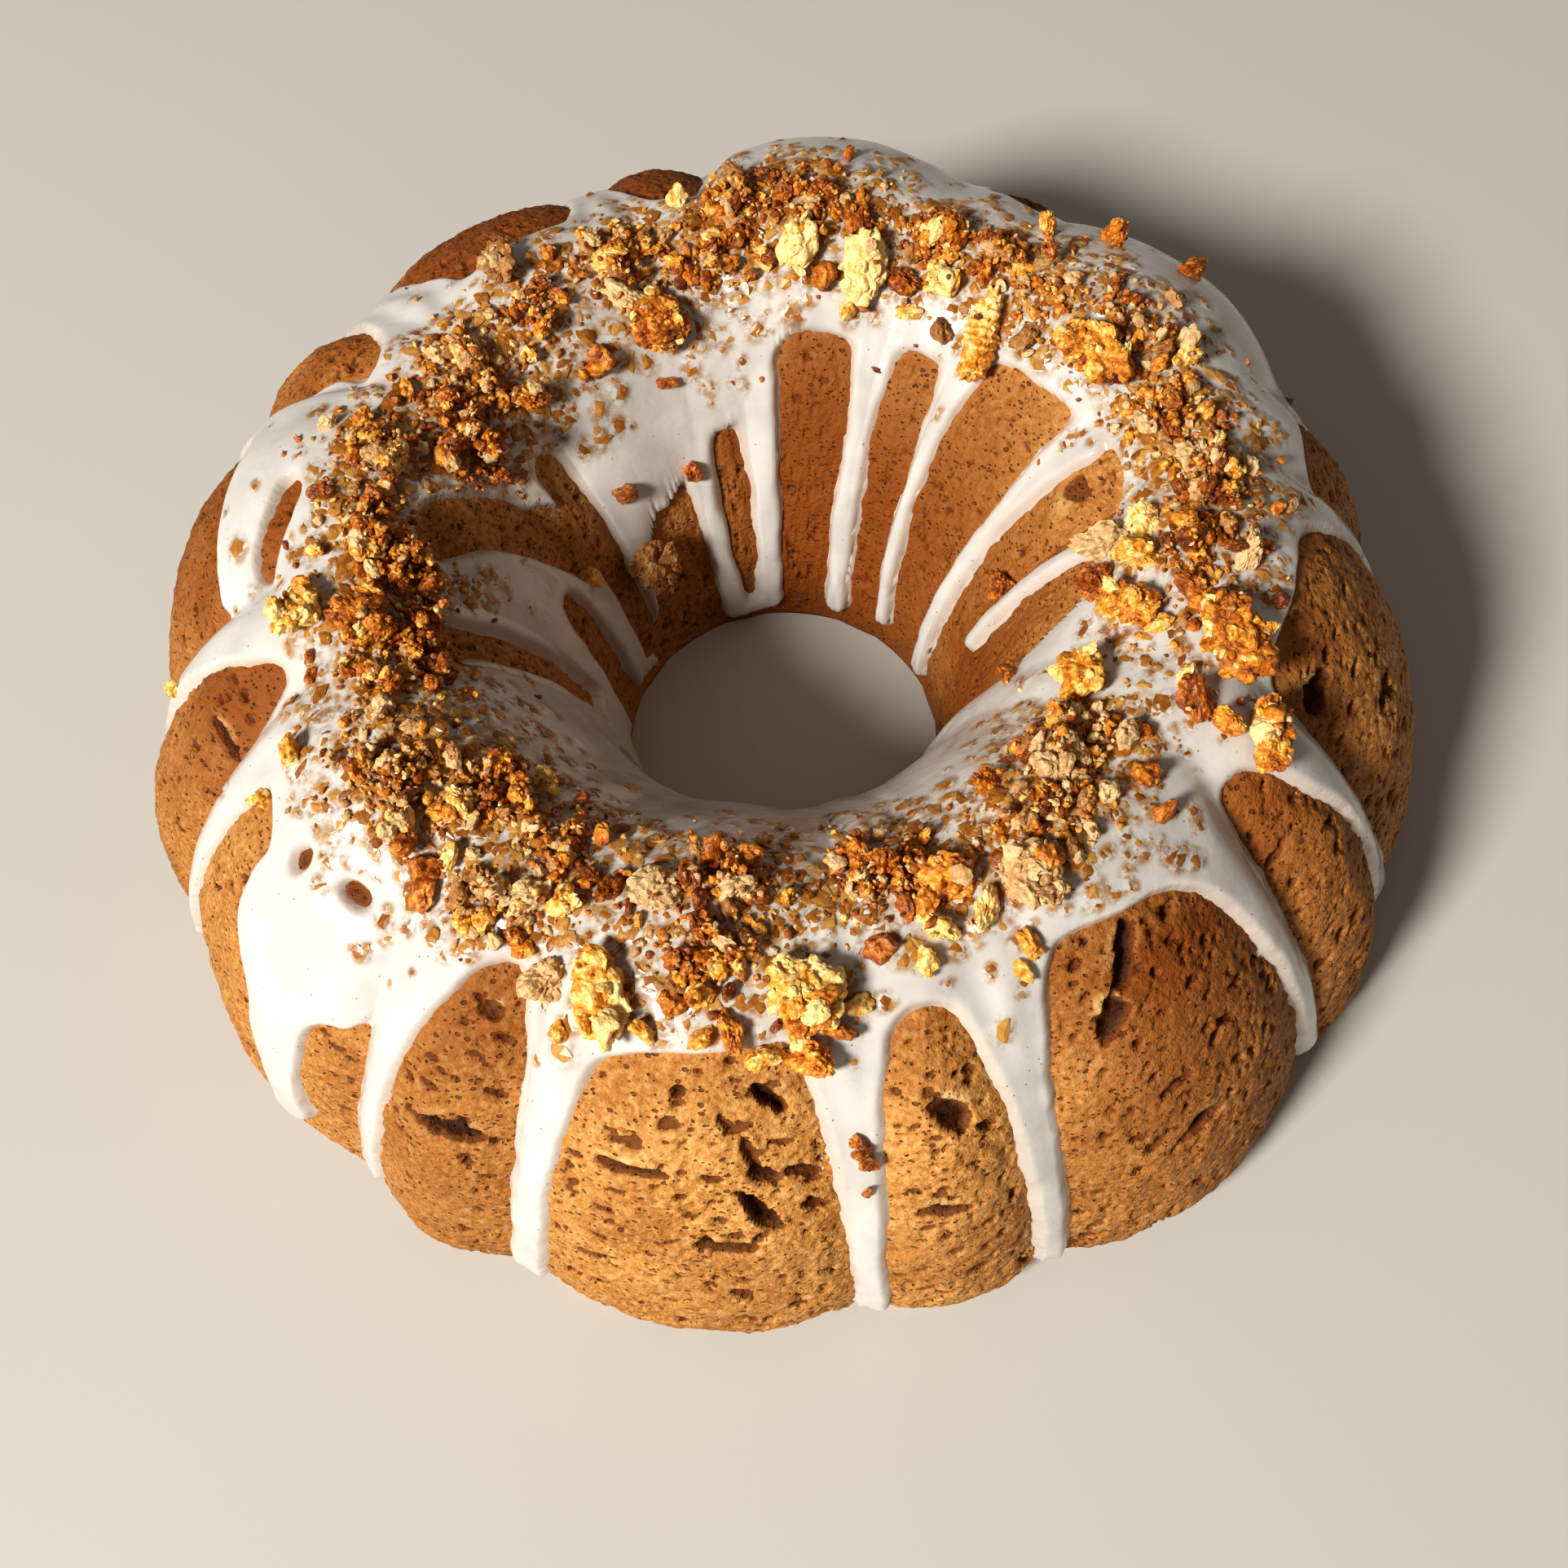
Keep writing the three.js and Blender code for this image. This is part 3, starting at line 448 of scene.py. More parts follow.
def glaze_inside(around, over):
    """The same for the glaze shown here, which has small bare spots and an uneven edge."""
    point = ring_point(around, over)
    radius = np.hypot(point[..., 0], point[..., 1])
    inside = packed_inside(around, over)
    for spot in BARE_SPOTS:
        inside = np.minimum(inside, -inside_patch(spot, around, over, radius))
    return inside + EDGE_WAVE * layered_noise(point, EDGE_WAVE_SIZE, EDGE_SEED)


def glaze_fill(inside):
    """How far glaze levels the grooves at a place that far in from its edge."""
    return VALLEY_FILL * smooth_step(0, FILL_BREADTH, inside)


# ---- The grid that crust and glaze share ---------------------------------

COLUMN_STEP = 0.25
OUTER_ROWS, INNER_ROWS = 180, 96
COARSE_STEP = 3                   # hidden faces are this many cells long and wide
SNAP_REACH = 0.3                  # points within half of this of the glaze's edge are moved onto it
column_places = FIRST_LOBE + np.arange(0, 360, COLUMN_STEP)
outer_places, inner_places = np.linspace(0, 90, OUTER_ROWS + 1), np.linspace(90, 180, INNER_ROWS + 1)
row_places = np.concatenate([outer_places[:-1], inner_places])
row_borders = (row_places[1:] + row_places[:-1]) / 2
COLUMNS, ROWS = len(column_places), len(row_places)
grid_index = np.arange(COLUMNS * ROWS).reshape(COLUMNS, ROWS)


def snap_to_edge(around, over):
    """Moves the grid's points that lie next to the glaze's edge onto it."""
    inside = glaze_inside(around, over)
    point = ring_point(around, over)
    round_scale = np.radians(np.hypot(point[..., 0], point[..., 1]))
    slope_round = (np.roll(inside, -1, 0) - np.roll(inside, 1, 0)) / (2 * COLUMN_STEP * round_scale)
    slope_over = np.gradient(inside, row_places, axis=1) / OVER_SCALE
    steepness = slope_round**2 + slope_over**2 + 1e-6
    cell = np.maximum(COLUMN_STEP * round_scale, SNAP_REACH)
    near = (np.abs(inside) < 0.5 * cell * np.sqrt(steepness)) & (over > 1) & (over < 179)
    around = np.where(near, around - inside * slope_round / steepness / round_scale, around)
    over = np.where(near, over - inside * slope_over / steepness / OVER_SCALE, over)
    return around, over


grid_around, grid_over = np.meshgrid(column_places, row_places, indexing="ij")
grid_around, grid_over = snap_to_edge(grid_around, grid_over)
grid_inside = glaze_inside(grid_around, grid_over)
grid_base = ring_point(grid_around, grid_over)
grid_radius = np.hypot(grid_base[..., 0], grid_base[..., 1])


def nearest_cell(around, over):
    column = np.round((around - FIRST_LOBE) / COLUMN_STEP).astype(int) % COLUMNS
    return column, np.searchsorted(row_borders, over)


def window(around, over, half_size):
    """The grid's columns and rows within half_size of a place, and how far each point is from it."""
    middle, row = nearest_cell(np.float64(around), over)
    reach_columns = int(half_size / (grid_radius[middle, row] * math.radians(COLUMN_STEP))) + 1
    columns = np.arange(middle - reach_columns, middle + reach_columns + 1) % COLUMNS
    reach_over = half_size / OVER_SCALE
    first, last = np.searchsorted(row_places, (over - reach_over, over + reach_over))
    block = np.ix_(columns, np.arange(first, last))
    x = np.radians(wrap(grid_around[block] - around)) * grid_radius[block]
    y = (grid_over[block] - over) * OVER_SCALE
    return block, x, y


def cells_deeper_than(distance):
    """Which of the grid's cells lie at least that far in from the glaze's edge."""
    deep = grid_inside > distance
    deep = deep[:, :-1] & deep[:, 1:]
    return deep & np.roll(deep, -1, 0)


# ---- Meshes --------------------------------------------------------------


def make_object(name, points, faces, material, attributes, smooth=True):
    mesh = bpy.data.meshes.new(name)
    mesh.from_pydata((points * MM).tolist(), [], faces)
    for attribute_name, values in attributes:
        attribute = mesh.attributes.new(attribute_name, "FLOAT", "POINT")
        attribute.data.foreach_set("value", np.asarray(values, np.float32))
    mesh.polygons.foreach_set("use_smooth", [smooth] * len(mesh.polygons))
    mesh.materials.append(material)
    mesh.update()
    piece = bpy.data.objects.new(name, mesh)
    bpy.context.scene.collection.objects.link(piece)
    return piece


def grid_faces(cells, index, coarse_cells):
    """Faces for the chosen cells of the grid, one for a whole block where all its cells are coarse."""
    step = COARSE_STEP
    blocks = (cells & coarse_cells).reshape(COLUMNS // step, step, (ROWS - 1) // step, step)
    blocks = blocks.all(axis=(1, 3))
    fine = cells & ~np.repeat(np.repeat(blocks, step, 0), step, 1)
    columns, rows = np.nonzero(fine)
    after = (columns + 1) % COLUMNS
    corners = ((columns, rows), (after, rows), (after, rows + 1), (columns, rows + 1))
    faces = np.stack([index[corner] for corner in corners], axis=-1).tolist()
    for column, row in zip(*np.nonzero(blocks)):
        left, low = column * step, row * step
        right = (left + step) % COLUMNS
        sides = (
            ([((left + k) % COLUMNS, low) for k in range(step)], (column, row - 1)),
            ([(right, low + k) for k in range(step)], ((column + 1) % len(blocks), row)),
            ([((left + step - k) % COLUMNS, low + step) for k in range(step)], (column, row + 1)),
            ([(left, low + step - k) for k in range(step)], (column - 1, row)),
        )
        face = []
        for side, (next_column, next_row) in sides:
            beyond = 0 <= next_row < blocks.shape[1] and blocks[next_column, next_row]
            face += [int(index[place]) for place in (side[:1] if beyond else side)]
        faces.append(face)
    return faces


def make_grid_object(name, points, faces, material, attributes):
    """An object from the grid's points, without those that no face uses."""
    points = points.reshape(-1, 3)
    used = np.zeros(len(points), bool)
    used[list(itertools.chain.from_iterable(faces))] = True
    place = np.cumsum(used) - 1
    faces = [[int(place[point]) for point in face] for face in faces]
    attributes = [(attribute, values[used]) for attribute, values in attributes]
    return make_object(name, points[used], faces, material, attributes)


# ---- Materials -----------------------------------------------------------

# Before each tone stands the value of the noise, or of the paleness, that it is for.
CRUST_TONES = ((0.3, (0.43, 0.172, 0.036)), (0.5, (0.54, 0.25, 0.062)), (0.7, (0.64, 0.325, 0.10)))
PALE_GRAIN, DARK_GRAIN = (0.80, 0.50, 0.20), (0.21, 0.062, 0.009)
# The first colour here is well-baked crust, and it also serves as painted shade.
BAKED_AND_SHADED, TORN = (0.23, 0.064, 0.008), (0.72, 0.47, 0.20)
# The two hollow colours are painted shade in pits and cracks.
PORE, HOLLOW_SHADE, DEEP_HOLLOW_SHADE = (0.12, 0.034, 0.009), (0.14, 0.038, 0.007), (0.05, 0.014, 0.004)
GLAZE_WHITES = ((0.55, 0.535, 0.52), (0.64, 0.62, 0.60))
GLAZE_STAINS = ((0.27, 0.105, 0.013), (0.40, 0.22, 0.045))
THIN_GLAZE, SPECK = (0.52, 0.38, 0.28), (0.10, 0.07, 0.05)
SUGAR_TONES = (
    (0.0, (0.13, 0.030, 0.004)), (0.25, (0.30, 0.075, 0.007)), (0.5, (0.56, 0.175, 0.014)),
    (0.75, (0.78, 0.39, 0.045)), (1.0, (0.90, 0.68, 0.30)),
)
OAT_TONES = ((0.0, (0.20, 0.075, 0.02)), (0.4, (0.43, 0.205, 0.065)), (1.0, (0.74, 0.53, 0.28)))
SOAKED_TONES = ((0.0, (0.22, 0.07, 0.008)), (0.5, (0.37, 0.145, 0.02)), (1.0, (0.50, 0.27, 0.07)))
FLOOR_GREYS = ((0.53, 0.52, 0.495), (0.56, 0.55, 0.525))


class Shader:
    """A Principled material with short helpers for its nodes."""

    def __init__(self, name, roughness, specular=0.5):
        self.material = bpy.data.materials.new(name)
        self.material.use_nodes = True
        self.tree = self.material.node_tree
        self.surface = self.tree.nodes["Principled BSDF"]
        self.surface.inputs["Roughness"].default_value = roughness
        self.surface.inputs["Specular IOR Level"].default_value = specular
        self.place = self.node("ShaderNodeTexCoord").outputs["Object"]

    def node(self, kind, **settings):
        made = self.tree.nodes.new(kind)
        for name, value in settings.items():
            setattr(made, name, value)
        return made

    def link(self, source, target):
        self.tree.links.new(source, target)

    def noise(self, size, detail=3.0, roughness=0.55):
        made = self.node("ShaderNodeTexNoise")
        made.inputs["Scale"].default_value = 1 / (size * MM)
        made.inputs["Detail"].default_value = detail
        made.inputs["Roughness"].default_value = roughness
        self.link(self.place, made.inputs["Vector"])
        return made.outputs["Fac"]

    def spots(self, size, flatness=1.0):
        """Distance from scattered points, whose surroundings are that much lower than wide."""
        squeezed = self.node("ShaderNodeMapping")
        squeezed.inputs["Scale"].default_value = (1, 1, flatness)
        self.link(self.place, squeezed.inputs["Vector"])
        made = self.node("ShaderNodeTexVoronoi")
        made.inputs["Scale"].default_value = 1 / (size * MM)
        self.link(squeezed.outputs["Vector"], made.inputs["Vector"])
        return made.outputs["Distance"]

    def attribute(self, name):
        return self.node("ShaderNodeAttribute", attribute_name=name).outputs["Fac"]

    def spread(self, value, low, high, to_low=0.0, to_high=1.0):
        made = self.node("ShaderNodeMapRange", clamp=True)
        for index, number in enumerate((low, high, to_low, to_high), start=1):
            made.inputs[index].default_value = number
        self.link(value, made.inputs[0])
        return made.outputs[0]

    def calculate(self, operation, a, b):
        made = self.node("ShaderNodeMath", operation=operation)
        for socket, value in zip(made.inputs, (a, b)):
            if isinstance(value, (int, float)):
                socket.default_value = value
            else:
                self.link(value, socket)
        return made.outputs[0]

    def wander(self, value, size, amount, detail=3.0):
        """The value, moved up and down by noise."""
        moved = self.spread(self.noise(size, detail), 0.3, 0.7, -amount, amount)
        return self.calculate("ADD", value, moved)

    def mix(self, share, a, b):
        made = self.node("ShaderNodeMix", data_type="RGBA")
        for socket, value in ((made.inputs[0], share), (made.inputs[6], a), (made.inputs[7], b)):
            if isinstance(value, tuple):
                socket.default_value = (*value, 1)
            else:
                self.link(value, socket)
        return made.outputs[2]

    def ramp(self, value, stops):
        made = self.node("ShaderNodeValToRGB")
        elements = made.color_ramp.elements
        while len(elements) < len(stops):
            elements.new(0.5)
        for element, (position, colour) in zip(elements, stops):
            element.position = position
            element.color = (*colour, 1)
        self.link(value, made.inputs["Fac"])
        return made.outputs["Color"]

    def colour(self, value):
        self.link(value, self.surface.inputs["Base Color"])

    def rough(self, value):
        self.link(value, self.surface.inputs["Roughness"])

    def bump(self, height, distance):
        made = self.node("ShaderNodeBump")
        made.inputs["Distance"].default_value = distance * MM
        made.inputs["Strength"].default_value = 1
        self.link(height, made.inputs["Height"])
        self.link(made.outputs["Normal"], self.surface.inputs["Normal"])

    def scatter(self, weight, radius, colour_radius=(1.0, 0.6, 0.35)):
        self.surface.inputs["Subsurface Weight"].default_value = weight
        self.surface.inputs["Subsurface Radius"].default_value = colour_radius
        self.surface.inputs["Subsurface Scale"].default_value = radius * MM


def crust_material():
    shader = Shader("crust", roughness=0.6, specular=0.2)
    patches = shader.noise(16, detail=4)
    grain = shader.noise(1.2, detail=4, roughness=0.7)
    crumb = shader.ramp(patches, CRUST_TONES)
    crumb = shader.mix(shader.spread(grain, 0.5, 0.64, 0, 0.6), crumb, PALE_GRAIN)
    crumb = shader.mix(shader.spread(grain, 0.47, 0.36, 0, 0.5), crumb, DARK_GRAIN)
    # Darker crust where it baked more, and painted shade in the hole, under the glaze and on lobes turned
    # from the light.
    crumb = shader.mix(shader.attribute("bake_and_shade"), crumb, BAKED_AND_SHADED)
    fine_pores = shader.spread(shader.spots(1.5, flatness=1.8), 0.14, 0.22, 1, 0)
    fine_pores = shader.calculate("MULTIPLY", fine_pores, shader.spread(shader.noise(4), 0.42, 0.5))
    broad_pores = shader.spread(shader.spots(3.4, flatness=2), 0.14, 0.18, 1, 0)
    pores = shader.calculate("MAXIMUM", fine_pores, broad_pores)
    crumb = shader.mix(shader.calculate("MULTIPLY", pores, 0.85), crumb, PORE)
    crumb = shader.mix(shader.attribute("torn"), crumb, TORN)
    # Painted shade in pits and cracks, darker the deeper they are; the glaze's bare spots take the same
    # dark colour.
    hollow = shader.wander(shader.attribute("hollow"), 0.8, 0.08)
    crumb = shader.mix(shader.spread(hollow, 0.18, 0.34, 0, 0.88), crumb, HOLLOW_SHADE)
    crumb = shader.mix(shader.spread(hollow, 0.6, 0.95), crumb, DEEP_HOLLOW_SHADE)
    shader.colour(crumb)
    pitted = shader.calculate("MULTIPLY", pores, 1.4)
    shader.bump(shader.calculate("SUBTRACT", shader.noise(0.9, detail=4), pitted), 0.55)
    shader.scatter(0.05, 1.2)
    return shader.material


def glaze_material():
    shader = Shader("glaze", roughness=0.2, specular=0.5)
    cloudy = shader.noise(9, detail=3)
    white = shader.mix(shader.spread(cloudy, 0.35, 0.65), *GLAZE_WHITES)
    thin = shader.calculate("MULTIPLY", shader.attribute("thin"), 0.5)
    white = shader.mix(thin, white, THIN_GLAZE)
    mottled = shader.spread(shader.noise(2.2, detail=4, roughness=0.65), 0.42, 0.58)
    stain = shader.calculate("MULTIPLY", shader.attribute("stain"), mottled)
    stained = shader.mix(shader.spread(shader.noise(4), 0.4, 0.6), *GLAZE_STAINS)
    white = shader.mix(stain, white, stained)
    specks = shader.calculate("MULTIPLY", shader.spread(shader.spots(2.6), 0.045, 0.075, 1, 0), 0.8)
    white = shader.mix(specks, white, SPECK)
    shader.colour(white)
    shader.rough(shader.spread(shader.noise(5), 0.4, 0.7, 0.14, 0.3))
    shader.bump(shader.noise(3, detail=2), 0.12)
    shader.scatter(0.35, 1.2, (1.0, 0.85, 0.75))
    return shader.material


def sugar_material(name):
    """Boiled sugar, from dark toffee to pale honeycomb as its "pale" attribute rises."""
    shader = Shader(name, roughness=0.35, specular=0.5)
    tone = shader.wander(shader.attribute("pale"), 2.0, 0.28, detail=4)
    tone = shader.wander(tone, 0.7, 0.16, detail=2)
    shader.colour(shader.ramp(tone, SUGAR_TONES))
    shader.rough(shader.spread(shader.noise(1.2), 0.35, 0.65, 0.2, 0.6))
    shader.bump(shader.noise(0.6, detail=3), 0.3)
    shader.scatter(0.15, 1.0, (1.0, 0.55, 0.2))
    return shader.material


def oats_material():
    shader = Shader("oats", roughness=0.7, specular=0.3)
    tone = shader.wander(shader.attribute("pale"), 1.5, 0.3, detail=4)
    shader.colour(shader.ramp(tone, OAT_TONES))
    shader.bump(shader.noise(0.5, detail=3), 0.3)
    shader.scatter(0.1, 1.0)
    return shader.material


def soaked_material():
    """Crumbs that lie under the glaze's skin, dark and wet."""
    shader = Shader("soaked", roughness=0.28, specular=0.5)
    tone = shader.wander(shader.attribute("pale"), 1.0, 0.3)
    shader.colour(shader.ramp(tone, SOAKED_TONES))
    return shader.material


def floor_material():
    shader = Shader("floor", roughness=0.5, specular=0.3)
    shader.colour(shader.mix(shader.noise(400), *FLOOR_GREYS))
    return shader.material


# ---- The crust -----------------------------------------------------------

PORE_COUNT = 16000
PORES_END, PORES_LOW = 178, 1.6   # how far over the ring pores go, and how much they keep to its foot
PORE_HALF = 0.34                  # half the height of the smallest
PORE_SPREAD_OUTSIDE, PORE_SPREAD_INSIDE = 0.75, 0.4    # how much larger the largest are
LARGE_PORE_RARITY = 5
FLATTEST_PORE, PORE_TURN = 2.4, 20
PORE_DEEPEST = 1.8
HOLLOW_ROUNDNESS = 3
CRACK_RAGGEDNESS = 0.35
# Painted shade in the hollows grows with their depth.
DARKEST_DEPTH = 2.2               # hollows this deep are as dark as they get
BARE_SPOT_DARKNESS = 0.5
TORN_LIP = 0.55                   # torn crumb shows this share of the breadth above a crack
# Unevenness: how far it comes out, how broad its bumps are, seed, layers of noise.
UNEVENNESS = ((0.55, 18, 20, 3), (0.26, 3.2, 30, 3), (0.22, 1.1, 40, 1))
CRUST_SINK = 0.2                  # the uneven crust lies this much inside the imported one
CRUST_COVERED = 2.5               # this far in from the glaze's edge the crust is hidden


def press(depth, around, over, half_length, half_height, turn, deep, ragged=0.0):
    """Presses one oval hollow into the crust's depth map."""
    block, x, y = window(around, over, max(half_length, half_height) * 1.3)
    away = oval_distance(x, y, turn, half_length, half_height)
    if ragged:
        away = np.clip(away + ragged * layered_noise(grid_base[block], 3, CRACK_SEED), 0, None)
    hollow = np.clip(1 - away**HOLLOW_ROUNDNESS, 0, 1) ** 0.5
    depth[block] = np.maximum(depth[block], deep * hollow)


def crust_depth():
    """How deep pores, cracks and pits have hollowed the crust at each point."""
    random = np.random.default_rng(PORE_SEED)
    depth = np.zeros((COLUMNS, ROWS))
    for _ in range(PORE_COUNT):
        around, over = random.uniform(-180, 180), PORES_END * random.random() ** PORES_LOW
        spread = PORE_SPREAD_OUTSIDE if over < 90 else PORE_SPREAD_INSIDE
        half = PORE_HALF + spread * random.random() ** LARGE_PORE_RARITY
        flat = random.uniform(1.0, FLATTEST_PORE)
        turn = random.normal(0, PORE_TURN)
        press(depth, around, over, half * flat, half, turn, min(half * 1.5, PORE_DEEPEST))
    for around, over, length, breadth, turn, deep, _ in CRACKS:
        press(depth, around, over, length / 2, breadth / 2, turn, deep, ragged=CRACK_RAGGEDNESS)
    return depth * smooth_step(-0.3, -1.6, grid_inside) * smooth_step(0, 4, grid_base[..., 2])


def hollow_share(depth):
    """How much painted shade darkens the crust's hollows at each point, more the deeper they are; the
    glaze's bare spots are darkened all over.
    """
    hollow = np.clip(depth / DARKEST_DEPTH, 0, 1)
    for spot in BARE_SPOTS:
        inside = inside_patch(spot, grid_around, grid_over, grid_radius)
        hollow = np.maximum(hollow, BARE_SPOT_DARKNESS * smooth_step(-1, 0, inside))
    return hollow


def torn_crumb():
    """How much pale torn crumb shows at each point, along the upper lips of the cracks."""
    torn = np.zeros((COLUMNS, ROWS))
    for around, over, length, breadth, turn, _, pale in CRACKS:
        block, x, y = window(around, over + breadth * TORN_LIP / OVER_SCALE, length * 0.7)
        away = oval_distance(x, y, turn, length * 0.45, breadth * 0.75)
        torn[block] = np.maximum(torn[block], pale * smooth_step(1.1, 0.3, away))
    return torn * smooth_step(-0.25, 0.25, layered_noise(grid_base, 2.2, TORN_SEED))


def bake_and_shade_share():
    """How much darker than the palest the crust is painted at each point: partly darker bake, partly
    painted shade deep in the hole, close under the glaze and on the lobes that the light reaches least.
    """
    outside, inside = per_lobe(SHADE_AND_BAKE_OUTSIDE, grid_around), per_lobe(SHADE_AND_BAKE_INSIDE, grid_around)
    lobes = mix(outside, inside, smooth_step(80, 100, grid_over))
    deep = PAINTED_SHADE_IN_HOLE * smooth_step(100, 150, grid_over)
    patches = BAKED_PATCHES * smooth_step(0.2, 0.8, layered_noise(grid_base, 30, BAKED_SEED))
    under_glaze = PAINTED_SHADE_UNDER_GLAZE * smooth_step(44, 62, grid_over) * smooth_step(90, 80, grid_over)
    return np.clip(deep + patches + lobes + under_glaze, 0, 1)


def make_crust(material):
    normal = ring_normal(grid_around, grid_over)
    depth = crust_depth()
    uneven = sum(out * layered_noise(grid_base, *bumps) for out, *bumps in UNEVENNESS)
    steady = smooth_step(0, 3, grid_base[..., 2])
    points = grid_base + normal * ((uneven - CRUST_SINK) * steady - depth)[..., None]
    points[..., 2] = np.maximum(points[..., 2], 0)
    points[:, (0, -1), 2] = 0
    everywhere = np.ones((COLUMNS, ROWS - 1), bool)
    faces = grid_faces(everywhere, grid_index, cells_deeper_than(CRUST_COVERED))
    after = np.roll(grid_index, -1, 0)
    underside = [grid_index[:, 0], grid_index[:, -1], after[:, -1], after[:, 0]]
    faces += np.stack(underside, axis=-1).tolist()
    looks = (("hollow", hollow_share(depth)), ("torn", torn_crumb()), ("bake_and_shade", bake_and_shade_share()))
    attributes = [(name, values.ravel()) for name, values in looks]
    return make_grid_object("crust_baked", points, faces, material, attributes)


# ---- The glaze -----------------------------------------------------------

RIM = -1.0                        # the glaze's rim is this far out, buried in the crust
RIM_STEEPNESS, RIM_DEPTH = 1.3, 1.2
UNDERSIDE_DEPTH = 0.9             # how deep in the crust the glaze's hidden underside lies
UNDERSIDE_HEIGHT = 0.4            # no part of the glaze hangs lower than this
UNDERSIDE_COVERED = 2             # this far in from its edge the underside is made coarser
# The glaze's thickness as shares of GLAZE_THICKNESS: its mean, and how far it varies.
MEAN_THICKNESS, THICKNESS_WAVE, THICKNESS_WAVE_SIZE = 0.95, 0.16, 9
THIN_EDGE = 1.3                   # breadth of the edge that the crust shows through
GLAZE_ROUNDS = 40                 # how long the glaze has had to even out


def glaze_lift(inside, base):
    """How far out from the ring the glaze's top lies, negative where its rim is buried."""
    edge = 1 - np.clip(inside / GLAZE_EDGE, 0, 1)
    waves = layered_noise(base, THICKNESS_WAVE_SIZE, THICKNESS_SEED, layers=2)
    thick = GAP + GLAZE_THICKNESS * (MEAN_THICKNESS + THICKNESS_WAVE * waves)
    buried = np.maximum(inside * RIM_STEEPNESS, -RIM_DEPTH)
    return np.where(inside < 0, buried, thick * np.sqrt(1 - edge**2))


def even_out(points, free, rounds):
    """Evens a surface out as a thick liquid does, each point as far as it is free to move."""
    points = points.copy()
    for _ in range(rounds):
        average = (np.roll(points, 1, 0) + np.roll(points, -1, 0)) / 4
        average[:, 1:-1] += (points[:, :-2] + points[:, 2:]) / 4
        average[:, (0, -1)] += points[:, (0, -1)] / 2
        points += free[..., None] * (average - points)
    return points


def surface_normal(points):
    along = np.roll(points, -1, 0) - np.roll(points, 1, 0)
    normal = np.cross(along, np.gradient(points, axis=1))
    return normal / np.linalg.norm(normal, axis=-1, keepdims=True)


def glaze_top():
    fill = glaze_fill(grid_inside)
    level = glaze_lift(grid_inside, grid_base)[..., None]
    top = ring_point(grid_around, grid_over, fill) + ring_normal(grid_around, grid_over, fill) * level
    return even_out(top, smooth_step(0.8, 3, grid_inside), GLAZE_ROUNDS)


class Ground:
    """What the toppings lie on: the glaze, and the crust where that is bare."""

    def __init__(self):
        self.glaze = glaze_top()
        self.points = np.where(grid_inside[..., None] > 0, self.glaze, grid_base)
        self.normal = surface_normal(self.points)

    def raise_glaze(self, height):
        lift = self.normal * (height * smooth_step(0.5, 2, grid_inside))[..., None]
        self.glaze += lift
        self.points += lift

    def at(self, around, over):
        """The places on the ground over places on the chart, and the directions away from it."""
        cell = nearest_cell(around, over)
        return self.points[cell] + ring_point(around, over) - grid_base[cell], self.normal[cell]


def make_glaze(material, top, stain):
    level = np.minimum(glaze_lift(grid_inside, grid_base), 0) - UNDERSIDE_DEPTH
    low = grid_base + ring_normal(grid_around, grid_over) * level[..., None]
    near = grid_inside > RIM
    cells = near[:, :-1] | near[:, 1:]
    cells |= np.roll(cells, -1, 0)
    cells[:, (0, -1)] = False
    around_cells = cells & np.roll(cells, 1, 0)
    whole = np.zeros((COLUMNS, ROWS), bool)
    whole[:, 1:-1] = around_cells[:, 1:] & around_cells[:, :-1]
    below = np.where(whole, grid_index + COLUMNS * ROWS, grid_index)
    faces = grid_faces(cells, grid_index, np.zeros_like(cells))
    faces += [face[::-1] for face in grid_faces(cells, below, cells_deeper_than(UNDERSIDE_COVERED))]
    points = np.concatenate([top, low])
    points[..., 2] = np.maximum(points[..., 2], UNDERSIDE_HEIGHT)
    looks = (("thin", smooth_step(THIN_EDGE, 0, grid_inside)), ("stain", stain))
    attributes = [(name, np.tile(values.ravel(), 2)) for name, values in looks]
    return make_grid_object("glaze_poured", points, faces, material, attributes)


# ---- Toppings ------------------------------------------------------------


def ball(detail):
    """The points and faces of a sphere of radius 1, split detail times."""
    made = bmesh.new()
    bmesh.ops.create_icosphere(made, subdivisions=detail, radius=1)
    points = np.array([vertex.co[:] for vertex in made.verts])
    faces = np.array([[vertex.index for vertex in face.verts] for face in made.faces])
    made.free()
    return points, faces


def stand_on_ring(points, around, over, lift, turn, fill):
    """Stands a shape on the ring: its x runs round the ring, y over it, z away from it."""
    around, over = np.array(float(around)), np.array(float(over))
    up = ring_normal(around, over, fill)
    along = np.array([math.cos(math.radians(around)), math.sin(math.radians(around)), 0])
    along = along - up * (along @ up)
    along /= np.linalg.norm(along)
    across = np.cross(up, along)
    c, s = math.cos(math.radians(turn)), math.sin(math.radians(turn))
    x, y, z = points.T
    turned = np.stack([x * c - y * s, x * s + y * c, z], axis=-1)
    return ring_point(around, over, fill) + up * lift + turned @ np.stack([along, across, up])


